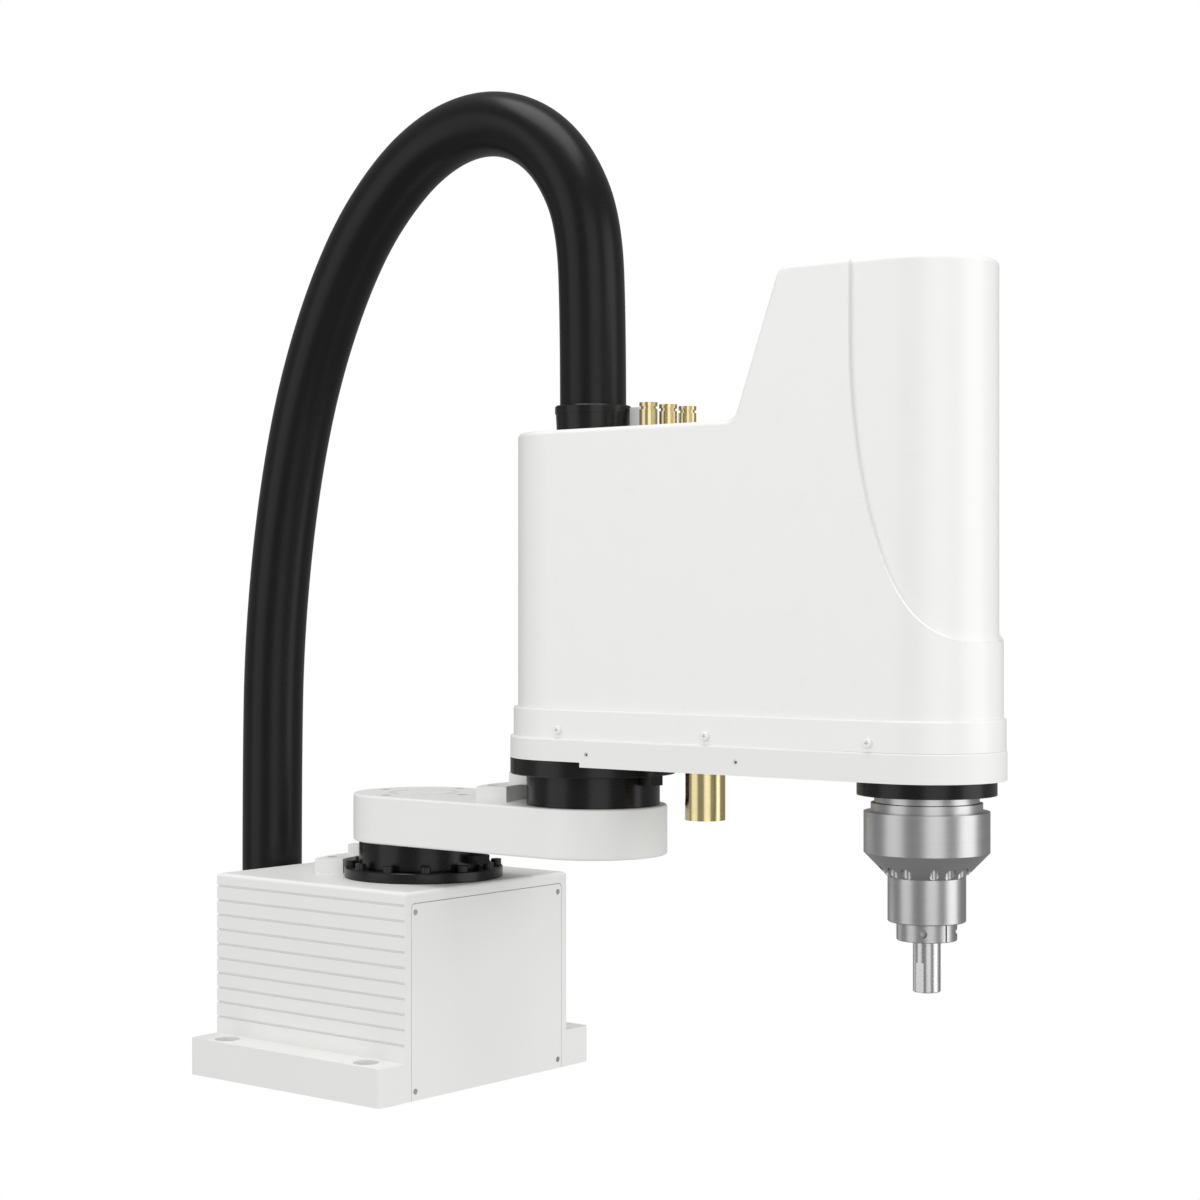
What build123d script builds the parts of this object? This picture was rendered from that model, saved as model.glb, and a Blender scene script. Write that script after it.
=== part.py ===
from build123d import *
from math import atan2, cos, degrees, hypot, pi, radians, sin, tan
import os

# Four-axis selective-compliance robot arm, 400 mm reach, in millimetres.
# Origin: where the first axis meets the underside of the base. +Z up, +X along both arms at the zero pose.

# Joint axes
ARM_1_LENGTH = 150.0
ARM_2_LENGTH = 250.0
ELBOW_X = ARM_1_LENGTH
TOOL_X = ARM_1_LENGTH + ARM_2_LENGTH

# Clearances
RUNNING = 0.05
FACE_GAP = 0.3
SCREW_PLAY = 0.05

# Base
BASE_REAR_X = -120.0
BASE_FRONT_X = 60.0
BASE_WIDTH = 160.0
BASE_HEIGHT = 135.0
BASE_EDGE_R = 2.5
FOOT_LEDGE = 24.0
FOOT_WIDTH = BASE_WIDTH + 2 * FOOT_LEDGE
FOOT_HEIGHT = 25.0
FOOT_CORNER_R = 3.0
FOOT_HOLE_R = 4.5
FOOT_BORE_R = 8.5
FOOT_BORE_DEPTH = 10.0
FOOT_HOLE_INSET = 24.0
FOOT_PITCH_Y = BASE_WIDTH + FOOT_LEDGE
GROOVE_COUNT = 10
GROOVE_PITCH = 10.0
GROOVE_TOP_Z = BASE_HEIGHT - 8.5
GROOVE_WIDTH = 1.5
GROOVE_DEPTH = 1.2
GROOVE_FRONT_GAP = 1.3
BASE_FLOOR = 12.0
BASE_ROOF = 16.0
BASE_WALL = 15.0
BASE_LENGTH = BASE_FRONT_X - BASE_REAR_X
FOOT_PITCH_X = BASE_LENGTH - 2 * FOOT_HOLE_INSET
BASE_MID_X = (BASE_FRONT_X + BASE_REAR_X) / 2

# Front and rear plates of the base, let in flush
PLATE_HALF_WIDTH = BASE_WIDTH / 2 - 5.0
PLATE_TOP_Z = BASE_HEIGHT - 7.5
PLATE_THICKNESS = 5.0
PLATE_CORNER_R = 3.0
PLATE_GAP = 0.4
PLATE_SCREW_Y = PLATE_HALF_WIDTH - 4.0
PLATE_SCREW_LOW_Z = 6.0
PLATE_SCREW_HIGH_Z = PLATE_TOP_Z - 5.8
PLATE_SCREW_HEAD_R = 1.9
PLATE_SCREW_R = 1.0
PLATE_SCREW_LENGTH = 9.0

# First joint: reducer flange and turning barrel
J1_FLANGE_R = 54.0
J1_FLANGE_THICKNESS = 7.0
J1_SPIGOT_R = 38.0
J1_SPIGOT_DEPTH = 26.0
J1_BARREL_R = 44.0
J1_PIVOT_R = 20.0
J1_PIVOT_DEPTH = 11.0
J1_BOLT_COUNT = 12
J1_BOLT_CIRCLE_R = 49.5
J1_BOLT_TURN = 15.0
J1_SHAFT_BORE_R = 8.0
M4_R = 2.0
M4_HEAD_R = 3.5
M4_HEAD_HEIGHT = 4.0
M4_LENGTH = 14.0

# Stop bracket, the same at both arm joints
STOP_INNER_R = 57.0
STOP_OUTER_R = 77.0
STOP_THICKNESS = 10.0
STOP_HALF_ANGLE = 30.0
STOP_BOLT_R = 70.0
STOP_BOLT_ANGLE = 18.0
STOP_LUG_INNER_R = 49.0
STOP_LUG_OUTER_R = 67.0
STOP_LUG_WIDTH = 12.0
STOP_LUG_HEIGHT = 17.7
TAB_WIDTH = 12.0
J1_TAB_R = 55.0
J1_TAB_Z = BASE_HEIGHT + J1_FLANGE_THICKNESS + 4.6
J1_TAB_HEIGHT = 5.4
J2_TAB_R = 52.0
J2_TAB_HEIGHT = 6.0

# First arm
ARM_1_BOTTOM_Z = BASE_HEIGHT + J1_FLANGE_THICKNESS + 18.0
ARM_1_THICKNESS = 32.0
ARM_1_R = 47.8
ARM_1_EDGE_R = 1.5
ARM_1_SKIN = 8.0
ARM_1_RIB = 6.0
ARM_1_TOP_Z = ARM_1_BOTTOM_Z + ARM_1_THICKNESS
HUB_RING_R = 22.0
HUB_RING_WIDTH = 5.0
HUB_RING_DEPTH = 2.5
HUB_ARCS = ((-28.7, 107.3), (107.3, 151.3), (151.3, 287.3), (287.3, 331.3))
HUB_WEB_ANGLE = 9.0
HUB_BOLT_R = 36.0
HUB_BOLT_COUNT = 4
HUB_BOLT_BORE_DEPTH = 4.6

# Second joint: barrel on the first arm, disc under the second
J2_BARREL_R = 43.0
J2_BARREL_HEIGHT = 20.0
J2_DISC_R = 53.35
J2_DISC_THICKNESS = 10.5
J2_PIVOT_R = 20.0
J2_PIVOT_DEPTH = 9.0
J2_BOLT_CIRCLE_R = 32.0
J2_BOLT_COUNT = 8
J2_DISC_BOLT_R = 39.5
J2_DISC_Z = ARM_1_TOP_Z + J2_BARREL_HEIGHT
J2_TOP_Z = J2_DISC_Z + J2_DISC_THICKNESS

# Second arm: casting, cover band and cover shell
CASTING_REAR_R = 53.3
CASTING_FRONT_R = 46.1
CASTING_STEP = 3.0
CASTING_STEP_X = ELBOW_X + 32.0
CASTING_BOTTOM_Z = J2_TOP_Z - CASTING_STEP
CASTING_TOP_Z = J2_TOP_Z + 14.3
CASTING_EDGE_R = 1.2
CASTING_FLOOR = 8.0
CASTING_WALL = 6.0
CASTING_FLOOR_Z = J2_TOP_Z + CASTING_FLOOR
RIM_THICKNESS = 3.5
RIM_TOP_Z = CASTING_TOP_Z + 14.2
BAND_REAR_R = 51.2
BAND_FRONT_R = 45.6
BAND_TOP_Z = CASTING_TOP_Z + 18.2
BAND_EDGE_R = 1.0
COVER_REAR_R = 48.3
COVER_FRONT_R = 44.0
COVER_WALL = 3.0
COVER_REAR_TOP_Z = BAND_TOP_Z + 175.0
COVER_FOOT_X = TOOL_X - 105.5
COVER_SHOULDER_X = TOOL_X - 73.5
COLUMN_TOP_Z = COVER_REAR_TOP_Z + 88.5
COVER_EDGE_R = 3.0
COLUMN_FILLET_R = 9.0
NOSE_INSET = 2.6
NOSE_SIDE_X = TOOL_X - 25.0
NOSE_BOTTOM_Z = BAND_TOP_Z + 44.0
NOSE_CURVE_X = TOOL_X + 45.0
NOSE_CURVE_Z = COLUMN_TOP_Z - 43.5
COVER_SCREW_X = (ELBOW_X + 13.4, (ELBOW_X + TOOL_X + 2.8) / 2, TOOL_X - 10.6)
COVER_SCREW_Z = CASTING_TOP_Z + 5.2
COVER_SCREW_HEAD_R = 2.75
COVER_SCREW_HEAD_HEIGHT = 1.9
COVER_SCREW_R = 1.5
COVER_SCREW_LENGTH = 6.0
CASTING_SCREW_X = (ELBOW_X + 37.3, TOOL_X - 101.1)
CASTING_SCREW_Z = CASTING_TOP_Z - 9.3
CASTING_SCREW_R = 1.5
CASTING_SCREW_LENGTH = 4.0

# Cable hose and its two ends
HOSE_D = 42.7
HOSE_FOOT_X = BASE_REAR_X - 30.5
HOSE_FOOT_Z = 108.0
HOSE_END_Z = COVER_REAR_TOP_Z + 3.5
HOSE_SPAN = ELBOW_X - HOSE_FOOT_X
# Each bend of the hose: its share of the way from the duct to the elbow axis, and its height.
HOSE_BENDS = (
    (0.0, 201.1),
    (0.0087, 298.9),
    (0.0569, 400.8),
    (0.1398, 489.3),
    (0.2742, 567.9),
    (0.4236, 614.8),
    (0.5654, 638.0),
    (0.7045, 643.1),
    (0.8303, 631.3),
    (0.9265, 605.3),
    (0.9897, 566.0),
    (1.0, 499.0),
)
HOSE_POINTS = (
    (HOSE_FOOT_X, HOSE_FOOT_Z),
    *((HOSE_FOOT_X + share * HOSE_SPAN, height) for share, height in HOSE_BENDS),
    (ELBOW_X, HOSE_END_Z),
)
HOSE_ARC_SHARE = 0.45
COLLAR_R = 24.6
COLLAR_FOOT_R = 23.4
COLLAR_HEIGHT = 18.0
COLLAR_LIP = 5.0
COLLAR_SEAT = 3.0
COLLAR_BORE_R = 17.0
COLLAR_PLAY = 0.3
GLAND_R = 25.5
GLAND_TOP_Z = 121.0
DUCT_BOX_DEPTH = 56.5
DUCT_BOX_HALF_WIDTH = 27.0
DUCT_FLANGE_HALF_WIDTH = DUCT_BOX_HALF_WIDTH + 8.0
DUCT_BOX_BOTTOM_Z = 40.0
DUCT_BOX_TOP_Z = 104.0
DUCT_BOX_WALL = 3.0
DUCT_BOX_CORNER_R = 8.0

# Fittings and sockets
FITTING_R = 5.65
FITTING_BORE_R = 3.05
FITTING_BORE_DEPTH = 9.0
FITTING_HEIGHT = 16.0
FITTING_NECK_R = 4.6
FITTING_NECK_HEIGHT = 1.9
FITTING_RIM_HEIGHT = 2.4
FITTING_STEM_R = 4.0
FITTING_STEM = 7.0
FITTING_PITCH = 20.0
FITTING_X = ELBOW_X + 61.0
SOCKET_X = ELBOW_X + 30.0
SOCKET_Y = 14.0
SOCKET_LENGTH = 9.0
SOCKET_WIDTH = 18.0
SOCKET_HEIGHT = 16.3
SLEEVE_X = ELBOW_X + 90.0
SLEEVE_R = 12.5
SLEEVE_BORE_R = 10.0
SLEEVE_BOTTOM_Z = J2_TOP_Z - 35.7
SLEEVE_FLANGE_R = 15.5
SLEEVE_FLANGE = 3.0
SLEEVE_SLOT_WIDTH = 10.0
SLEEVE_SLOT_BOTTOM_Z = SLEEVE_BOTTOM_Z + 9.2
SLEEVE_SLOT_ANGLE = 230.5

# Spline unit under the tool end
J3_RING_R = 40.5
J3_RING_Z = J2_TOP_Z - 11.8
HOUSING_R = 30.35
HOUSING_Z = J2_TOP_Z - 16.1
HOUSING_TUBE_R = 26.0
HOUSING_BORE_R = 22.5
HOUSING_TOP_Z = HOUSING_Z + 29.6
LIP_RING_R = 32.3
BELL_TOP_Z = J2_TOP_Z - 21.4
BELL_R = 36.45
BELL_CONE_TOP_Z = BELL_TOP_Z - 23.6
BELL_CONE_BOTTOM_Z = BELL_TOP_Z - 37.9
BELL_NECK_R = 22.6
BELL_BOTTOM_Z = BELL_TOP_Z - 63.7
BELL_TUBE_R = 16.0
BELL_TUBE_TOP_Z = BELL_TOP_Z + 52.9
BELL_INNER_R = 10.0
BELL_BORE_TOP_Z = BELL_TOP_Z - 24.1
BELL_SCREW_R = 26.0
BELL_SCREW_GROUPS = 3
BELL_SCREWS_IN_GROUP = 5
BELL_SCREW_STEP = 21.0
BELL_SCREW_TURN = -6.7
BELL_COUNTERBORE_R = 3.1
BELL_COUNTERBORE_TOP_Z = BELL_TOP_Z - 25.6
BELL_SCREW_LENGTH = 12.0
BELL_BEARING_WIDTH = 9.0
BELL_BEARING_Z = (HOUSING_Z + 3.6, HOUSING_Z + 18.6)
SHAFT_R = 8.0
SHAFT_TIP_Z = J2_TOP_Z - 125.8
SHAFT_TOP_Z = SHAFT_TIP_Z + 409.3
SHAFT_CHAMFER = 0.5
SHAFT_NECK_R = 7.6
SHAFT_NECK_WIDTH = 1.0
SHAFT_FLAT_DEPTH = 0.4
SHAFT_FLAT_TOP_Z = SHAFT_TIP_Z + 17.3
SHAFT_FLAT_ANGLE = -90.0
SPLINE_COUNT = 3
SPLINE_WIDTH = 2.4
SPLINE_DEPTH = 0.9
SPLINE_BOTTOM_Z = SHAFT_TIP_Z + 42.3
SPLINE_END_GAP = 6.0
STOP_COLLAR_R = 17.5
STOP_COLLAR_HEIGHT = 10.4
STOP_COLLAR_SLIT = 1.0
STOP_COLLAR_SLIT_ANGLE = -19.4
STOP_COLLAR_HOLE_R = 2.3
STOP_COLLAR_HOLE_ANGLE = -64.9
CLAMP_SCREW_OFFSET = 12.4
CLAMP_SCREW_R = 1.5
CLAMP_HEAD_R = 2.75
TOP_COLLAR_R = 14.0
TOP_COLLAR_HEIGHT = 9.0
TOP_COLLAR_GAP = 3.0

# Drives inside the second arm
PULLEY_R = 22.0
PULLEY_TEETH = 44
PULLEY_WIDTH = 12.0
MOTOR_PULLEY_R = 10.0
MOTOR_PULLEY_TEETH = 20
TOOTH_DEPTH = 0.9
BELT_GAP = 0.3
BELT_THICKNESS = 1.6
BELT_WIDTH = 10.0
SPIN_BELT_Z = J2_TOP_Z + 19.5
LIFT_BELT_Z = SPIN_BELT_Z + 18.0
SPIN_MOTOR_X = TOOL_X - 80.0
LIFT_MOTOR_X = TOOL_X - 138.0
MOTOR_PLATE_Z = LIFT_BELT_Z + 14.0
MOTOR_PLATE_THICKNESS = 8.0
MOTOR_PLATE_REAR_X = LIFT_MOTOR_X - 30.0
MOTOR_PLATE_FRONT_X = SPIN_MOTOR_X + 25.0
MOTOR_PLATE_HALF_WIDTH = 37.0
PLATE_POST_R = 4.0
PLATE_POST_Y = 32.0
SMALL_MOTOR_SIZE = 40.0
SPIN_MOTOR_HEIGHT = 78.0
LIFT_MOTOR_HEIGHT = 106.0
SMALL_SHAFT_R = 4.0
LARGE_MOTOR_SIZE = 60.0
J1_MOTOR_HEIGHT = 82.0
J2_MOTOR_HEIGHT = 96.0
LARGE_SHAFT_R = 7.0
MOTOR_CORNER_R = 4.0
NUT_R = 14.0
NUT_TOP_Z = LIFT_BELT_Z + 56.0
NUT_PLATE_Z = LIFT_BELT_Z + 24.0
NUT_PLATE_THICKNESS = 12.0
NUT_PLATE_R = 35.5
NUT_BEARING_R = 21.0
NUT_BEARING_WIDTH = 10.0
NUT_POSTS = ((20.0, 25.0), (20.0, -25.0), (-18.0, 31.0), (-18.0, -31.0))

# Rear sockets on the base
POWER_SOCKET_Y = (DUCT_FLANGE_HALF_WIDTH + PLATE_HALF_WIDTH) / 2
POWER_SOCKET_Z = 84.0
SIGNAL_SOCKET_Z = 40.0
SOCKET_SHELL_R = 10.5
SOCKET_FLANGE = 25.0
SOCKET_FLANGE_THICKNESS = 2.5
SOCKET_SHELL_LENGTH = 13.0
BASE_FITTING_Y = -(DUCT_FLANGE_HALF_WIDTH + BASE_WIDTH / 2 - BASE_WALL) / 2
BASE_FITTING_Z = (90.0, 65.0, 40.0)

PARTS = []


def keep(piece, label):
    """Names a finished piece and lists it for export."""
    piece.part.label = label
    PARTS.append(piece.part)


def tapered_outline(rear_radius, front_radius):
    """The second arm's plan: a belt line round a circle on the elbow axis and one on the tool axis."""
    with Locations((ELBOW_X, 0)):
        Circle(rear_radius)
    with Locations((TOOL_X, 0)):
        Circle(front_radius)
    make_hull()


def ring_sector(inner_radius, outer_radius, start, end):
    """A flat sector of a ring between two angles in degrees."""
    with BuildLine() as outline:
        CenterArc((0, 0), outer_radius, start, end - start)
        CenterArc((0, 0), inner_radius, start, end - start)
        for angle in (start, end):
            turn = radians(angle)
            Line(
                (inner_radius * cos(turn), inner_radius * sin(turn)),
                (outer_radius * cos(turn), outer_radius * sin(turn)),
            )
    make_face(outline.edges())


def cap_screw(head_radius, head_height, radius, length):
    """A socket-head screw along +Z, its head standing on the local XY plane and its thread below."""
    with BuildPart() as screw:
        Cylinder(head_radius, head_height, align=(Align.CENTER, Align.CENTER, Align.MIN))
        Cylinder(radius, length, align=(Align.CENTER, Align.CENTER, Align.MAX))
        with BuildSketch(Plane.XY.offset(head_height)):
            RegularPolygon(head_radius * 0.45, 6)
        extrude(amount=-head_height * 0.6, mode=Mode.SUBTRACT)
    return screw.part


def flank_plane(x, side, z, rear_radius, front_radius):
    """A plane on the second arm's side face at x, looking outwards; side is 1 for +Y and -1 for -Y."""
    lean = (rear_radius - front_radius) / ARM_2_LENGTH
    across = (1 - lean * lean) ** 0.5
    y = (rear_radius - lean * (x - ELBOW_X)) / across
    return Plane(origin=(x, side * y, z), x_dir=(across, -side * lean, 0), z_dir=(lean, side * across, 0))


def toothed_pulley(radius, teeth, width):
    """A timing-belt pulley body with square tooth gaps, standing on the active part's local XY plane."""
    Cylinder(radius, width, align=(Align.CENTER, Align.CENTER, Align.MIN))
    with PolarLocations(radius, teeth):
        Box(
            2 * TOOTH_DEPTH,
            2 * TOOTH_DEPTH,
            width,
            align=(Align.CENTER, Align.CENTER, Align.MIN),
            mode=Mode.SUBTRACT,
        )


# Base housing: a box casting with side fins, a foot along each side, and an opening at the front and the rear.
J1_FLANGE_TOP_Z = BASE_HEIGHT + J1_FLANGE_THICKNESS
HALF_BASE = BASE_WIDTH / 2
FOOT_HOLES = GridLocations(FOOT_PITCH_X, FOOT_PITCH_Y, 2, 2)
PLATE_SCREW_POINTS = [
    (side * PLATE_SCREW_Y, z) for side in (1, -1) for z in (PLATE_SCREW_LOW_Z, PLATE_SCREW_HIGH_Z)
]
FRONT_FACE = Plane(origin=(BASE_FRONT_X, 0, 0), x_dir=(0, 1, 0), z_dir=(1, 0, 0))
REAR_FACE = Plane(origin=(BASE_REAR_X, 0, 0), x_dir=(0, -1, 0), z_dir=(-1, 0, 0))
BASE_CENTRE_PLANE = Plane(origin=(BASE_MID_X, 0, 0))


def plate_outline(gap):
    """Outline of a base plate on its face plane, drawn smaller by gap; its upper corners are rounded."""
    half_width = PLATE_HALF_WIDTH - gap
    height = PLATE_TOP_Z - gap
    with BuildLine() as outline:
        FilletPolyline(
            (-half_width, 0),
            (-half_width, height),
            (half_width, height),
            (half_width, 0),
            radius=PLATE_CORNER_R,
        )
        Line((half_width, 0), (-half_width, 0))
    make_face(outline.edges())


with BuildPart() as base_housing:
    with BuildSketch(BASE_CENTRE_PLANE):
        RectangleRounded(BASE_LENGTH, FOOT_WIDTH, FOOT_CORNER_R)
    extrude(amount=FOOT_HEIGHT)
    with BuildSketch(BASE_CENTRE_PLANE):
        Rectangle(BASE_LENGTH, BASE_WIDTH)
    extrude(amount=BASE_HEIGHT)
    fillet(base_housing.faces().sort_by(Axis.Z)[-1].edges(), BASE_EDGE_R)
    with BuildSketch(BASE_CENTRE_PLANE.offset(BASE_FLOOR)):
        Rectangle(BASE_LENGTH, BASE_WIDTH - 2 * BASE_WALL)
    extrude(amount=BASE_HEIGHT - BASE_ROOF - BASE_FLOOR, mode=Mode.SUBTRACT)
    for face_plane in (FRONT_FACE, REAR_FACE):
        with BuildSketch(face_plane):
            plate_outline(0)
        extrude(amount=-PLATE_THICKNESS, mode=Mode.SUBTRACT)
        with BuildSketch(face_plane.offset(-PLATE_THICKNESS)):
            with Locations(*PLATE_SCREW_POINTS):
                Circle(PLATE_SCREW_R + SCREW_PLAY)
        extrude(amount=-PLATE_SCREW_LENGTH, mode=Mode.SUBTRACT)
    groove_mid_z = GROOVE_TOP_Z - (GROOVE_COUNT - 1) * GROOVE_PITCH / 2
    groove_length = BASE_LENGTH - GROOVE_FRONT_GAP
    for side in (1, -1):
        side_face = Plane(
            origin=(BASE_REAR_X + groove_length / 2, side * HALF_BASE, groove_mid_z),
            x_dir=(-side, 0, 0),
            z_dir=(0, side, 0),
        )
        with BuildSketch(side_face):
            with GridLocations(0, GROOVE_PITCH, 1, GROOVE_COUNT):
                Rectangle(groove_length, GROOVE_WIDTH)
        extrude(amount=-GROOVE_DEPTH, mode=Mode.SUBTRACT)
    with BuildSketch(Plane.XY.offset(BASE_HEIGHT)):
        Circle(J1_SPIGOT_R + SCREW_PLAY)
    extrude(amount=-BASE_ROOF, mode=Mode.SUBTRACT)
    with BuildSketch(Plane.XY.offset(BASE_HEIGHT)):
        with PolarLocations(J1_BOLT_CIRCLE_R, J1_BOLT_COUNT, start_angle=J1_BOLT_TURN):
            Circle(M4_R + SCREW_PLAY)
        with PolarLocations(
            STOP_BOLT_R, 2, start_angle=180 - STOP_BOLT_ANGLE, angular_range=2 * STOP_BOLT_ANGLE, endpoint=True
        ):
            Circle(M4_R + SCREW_PLAY)
    extrude(amount=-M4_LENGTH, mode=Mode.SUBTRACT)
    with Locations(BASE_CENTRE_PLANE.offset(FOOT_HEIGHT)):
        with GridLocations(FOOT_PITCH_X, FOOT_PITCH_Y, 2, 2):
            CounterBoreHole(FOOT_HOLE_R, FOOT_BORE_R, FOOT_BORE_DEPTH, depth=FOOT_HEIGHT)
keep(base_housing, "base_housing")

# Front plate, flush in the front of the base.
with BuildPart() as base_front_plate:
    with BuildSketch(FRONT_FACE):
        plate_outline(PLATE_GAP)
    extrude(amount=-PLATE_THICKNESS)
    with Locations(FRONT_FACE):
        with Locations(*PLATE_SCREW_POINTS):
            CounterSinkHole(PLATE_SCREW_R + SCREW_PLAY, PLATE_SCREW_HEAD_R + SCREW_PLAY, depth=PLATE_THICKNESS)
keep(base_front_plate, "base_front_plate")

# Rear plate: the same blank, pierced for the cable duct, two round sockets and three air fittings.
SOCKET_POINTS = ((-POWER_SOCKET_Y, POWER_SOCKET_Z), (-POWER_SOCKET_Y, SIGNAL_SOCKET_Z))
BASE_FITTING_POINTS = [(-BASE_FITTING_Y, z) for z in BASE_FITTING_Z]
DUCT_MID_Z = (DUCT_BOX_BOTTOM_Z + DUCT_BOX_TOP_Z) / 2
DUCT_HEIGHT = DUCT_BOX_TOP_Z - DUCT_BOX_BOTTOM_Z
DUCT_SCREW_POINTS = [
    (side * (DUCT_BOX_HALF_WIDTH + 4.0), z)
    for side in (1, -1)
    for z in (DUCT_BOX_BOTTOM_Z + 8.0, DUCT_BOX_TOP_Z - 8.0)
]
with BuildPart() as base_rear_plate:
    with BuildSketch(REAR_FACE):
        plate_outline(PLATE_GAP)
        with Locations((0, DUCT_MID_Z)):
            Rectangle(
                2 * DUCT_BOX_HALF_WIDTH - 4 * DUCT_BOX_WALL,
                DUCT_HEIGHT - 4 * DUCT_BOX_WALL,
                mode=Mode.SUBTRACT,
            )
        with Locations(*SOCKET_POINTS):
            Circle(SOCKET_SHELL_R + SCREW_PLAY, mode=Mode.SUBTRACT)
        with Locations(*BASE_FITTING_POINTS):
            Circle(FITTING_STEM_R + SCREW_PLAY, mode=Mode.SUBTRACT)
        with Locations(*DUCT_SCREW_POINTS):
            Circle(CLAMP_SCREW_R + SCREW_PLAY, mode=Mode.SUBTRACT)
    extrude(amount=-PLATE_THICKNESS)
    with Locations(REAR_FACE):
        with Locations(*PLATE_SCREW_POINTS):
            CounterSinkHole(PLATE_SCREW_R + SCREW_PLAY, PLATE_SCREW_HEAD_R + SCREW_PLAY, depth=PLATE_THICKNESS)
keep(base_rear_plate, "base_rear_plate")

# Countersunk screws of both plates.
with BuildPart() as plate_screws:
    for face_plane in (FRONT_FACE, REAR_FACE):
        for point in PLATE_SCREW_POINTS:
            with BuildSketch(face_plane):
                with Locations(point):
                    Circle(PLATE_SCREW_HEAD_R)
            with BuildSketch(face_plane.offset(PLATE_SCREW_R - PLATE_SCREW_HEAD_R)):
                with Locations(point):
                    Circle(PLATE_SCREW_R)
            loft()
            with BuildSketch(face_plane.offset(PLATE_SCREW_R - PLATE_SCREW_HEAD_R)):
                with Locations(point):
                    Circle(PLATE_SCREW_R)
            extrude(amount=-PLATE_SCREW_LENGTH)
keep(plate_screws, "plate_screws")

# Cable duct: a hollow box on the rear plate that turns the cables up into the hose.
DUCT_REAR_X = BASE_REAR_X - DUCT_BOX_DEPTH
DUCT_PLANE = Plane(origin=(BASE_REAR_X, 0, DUCT_BOX_BOTTOM_Z))
with BuildPart() as rear_duct_box:
    with BuildSketch(DUCT_PLANE) as duct_plan:
        with Locations((-DUCT_BOX_DEPTH / 2, 0)):
            Rectangle(DUCT_BOX_DEPTH, 2 * DUCT_BOX_HALF_WIDTH)
        fillet(duct_plan.vertices().group_by(Axis.X)[0], DUCT_BOX_CORNER_R)
    extrude(amount=DUCT_HEIGHT)
    with BuildSketch(DUCT_PLANE.offset(DUCT_BOX_WALL)) as duct_bore:
        with Locations((-(DUCT_BOX_DEPTH - DUCT_BOX_WALL) / 2, 0)):
            Rectangle(DUCT_BOX_DEPTH - DUCT_BOX_WALL, 2 * (DUCT_BOX_HALF_WIDTH - DUCT_BOX_WALL))
        fillet(duct_bore.vertices().group_by(Axis.X)[0], DUCT_BOX_CORNER_R - DUCT_BOX_WALL)
    extrude(amount=DUCT_HEIGHT - 2 * DUCT_BOX_WALL, mode=Mode.SUBTRACT)
    with BuildSketch(Plane(origin=(HOSE_FOOT_X, 0, DUCT_BOX_TOP_Z))):
        Circle(COLLAR_BORE_R)
    extrude(amount=-DUCT_BOX_WALL, mode=Mode.SUBTRACT)
    with BuildSketch(REAR_FACE):
        with Locations((0, DUCT_MID_Z)):
            Rectangle(2 * DUCT_FLANGE_HALF_WIDTH, DUCT_HEIGHT)
            Rectangle(2 * (DUCT_BOX_HALF_WIDTH - DUCT_BOX_WALL), DUCT_HEIGHT - 2 * DUCT_BOX_WALL, mode=Mode.SUBTRACT)
        with Locations(*DUCT_SCREW_POINTS):
            Circle(CLAMP_SCREW_R + SCREW_PLAY, mode=Mode.SUBTRACT)
    extrude(amount=DUCT_BOX_WALL)
keep(rear_duct_box, "rear_duct_box")

with BuildPart() as duct_box_screws:
    with Locations(REAR_FACE.offset(DUCT_BOX_WALL)):
        with Locations(*DUCT_SCREW_POINTS):
            add(cap_screw(CLAMP_HEAD_R, 2 * CLAMP_SCREW_R, CLAMP_SCREW_R, PLATE_THICKNESS + DUCT_BOX_WALL))
keep(duct_box_screws, "duct_box_screws")

# Gland ring that holds the hose's foot on the duct.
HOSE_R = HOSE_D / 2
with BuildPart() as hose_gland:
    with BuildSketch(Plane(origin=(HOSE_FOOT_X, 0, 0), x_dir=(1, 0, 0), z_dir=(0, -1, 0))):
        with BuildLine():
            Polyline(
                (COLLAR_BORE_R, DUCT_BOX_TOP_Z),
                (GLAND_R, DUCT_BOX_TOP_Z),
                (GLAND_R, GLAND_TOP_Z - 1.0),
                (GLAND_R - 1.0, GLAND_TOP_Z),
                (HOSE_R + SCREW_PLAY, GLAND_TOP_Z),
                (HOSE_R + SCREW_PLAY, HOSE_FOOT_Z),
                (COLLAR_BORE_R, HOSE_FOOT_Z),
                close=True,
            )
        make_face()
    revolve(axis=Axis((HOSE_FOOT_X, 0, 0), (0, 0, 1)))
keep(hose_gland, "hose_gland")

# Two round sockets on the rear plate, power above and signal below: square flange and threaded shell.
with BuildPart() as base_sockets:
    for point in SOCKET_POINTS:
        with BuildSketch(REAR_FACE):
            with Locations(point):
                RectangleRounded(SOCKET_FLANGE, SOCKET_FLANGE, 3.0)
        extrude(amount=SOCKET_FLANGE_THICKNESS)
        with BuildSketch(REAR_FACE.offset(SOCKET_FLANGE_THICKNESS)):
            with Locations(point):
                Circle(SOCKET_SHELL_R)
                Circle(SOCKET_SHELL_R - 1.6, mode=Mode.SUBTRACT)
        extrude(amount=SOCKET_SHELL_LENGTH - SOCKET_FLANGE_THICKNESS)
        with BuildSketch(REAR_FACE):
            with Locations(point):
                Circle(SOCKET_SHELL_R)
        extrude(amount=-PLATE_THICKNESS)
        with BuildSketch(REAR_FACE.offset(SOCKET_FLANGE_THICKNESS)):
            with Locations(point):
                with PolarLocations(SOCKET_SHELL_R / 2, 4):
                    Circle(0.8)
        extrude(amount=6.0)
keep(base_sockets, "base_sockets")


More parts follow.
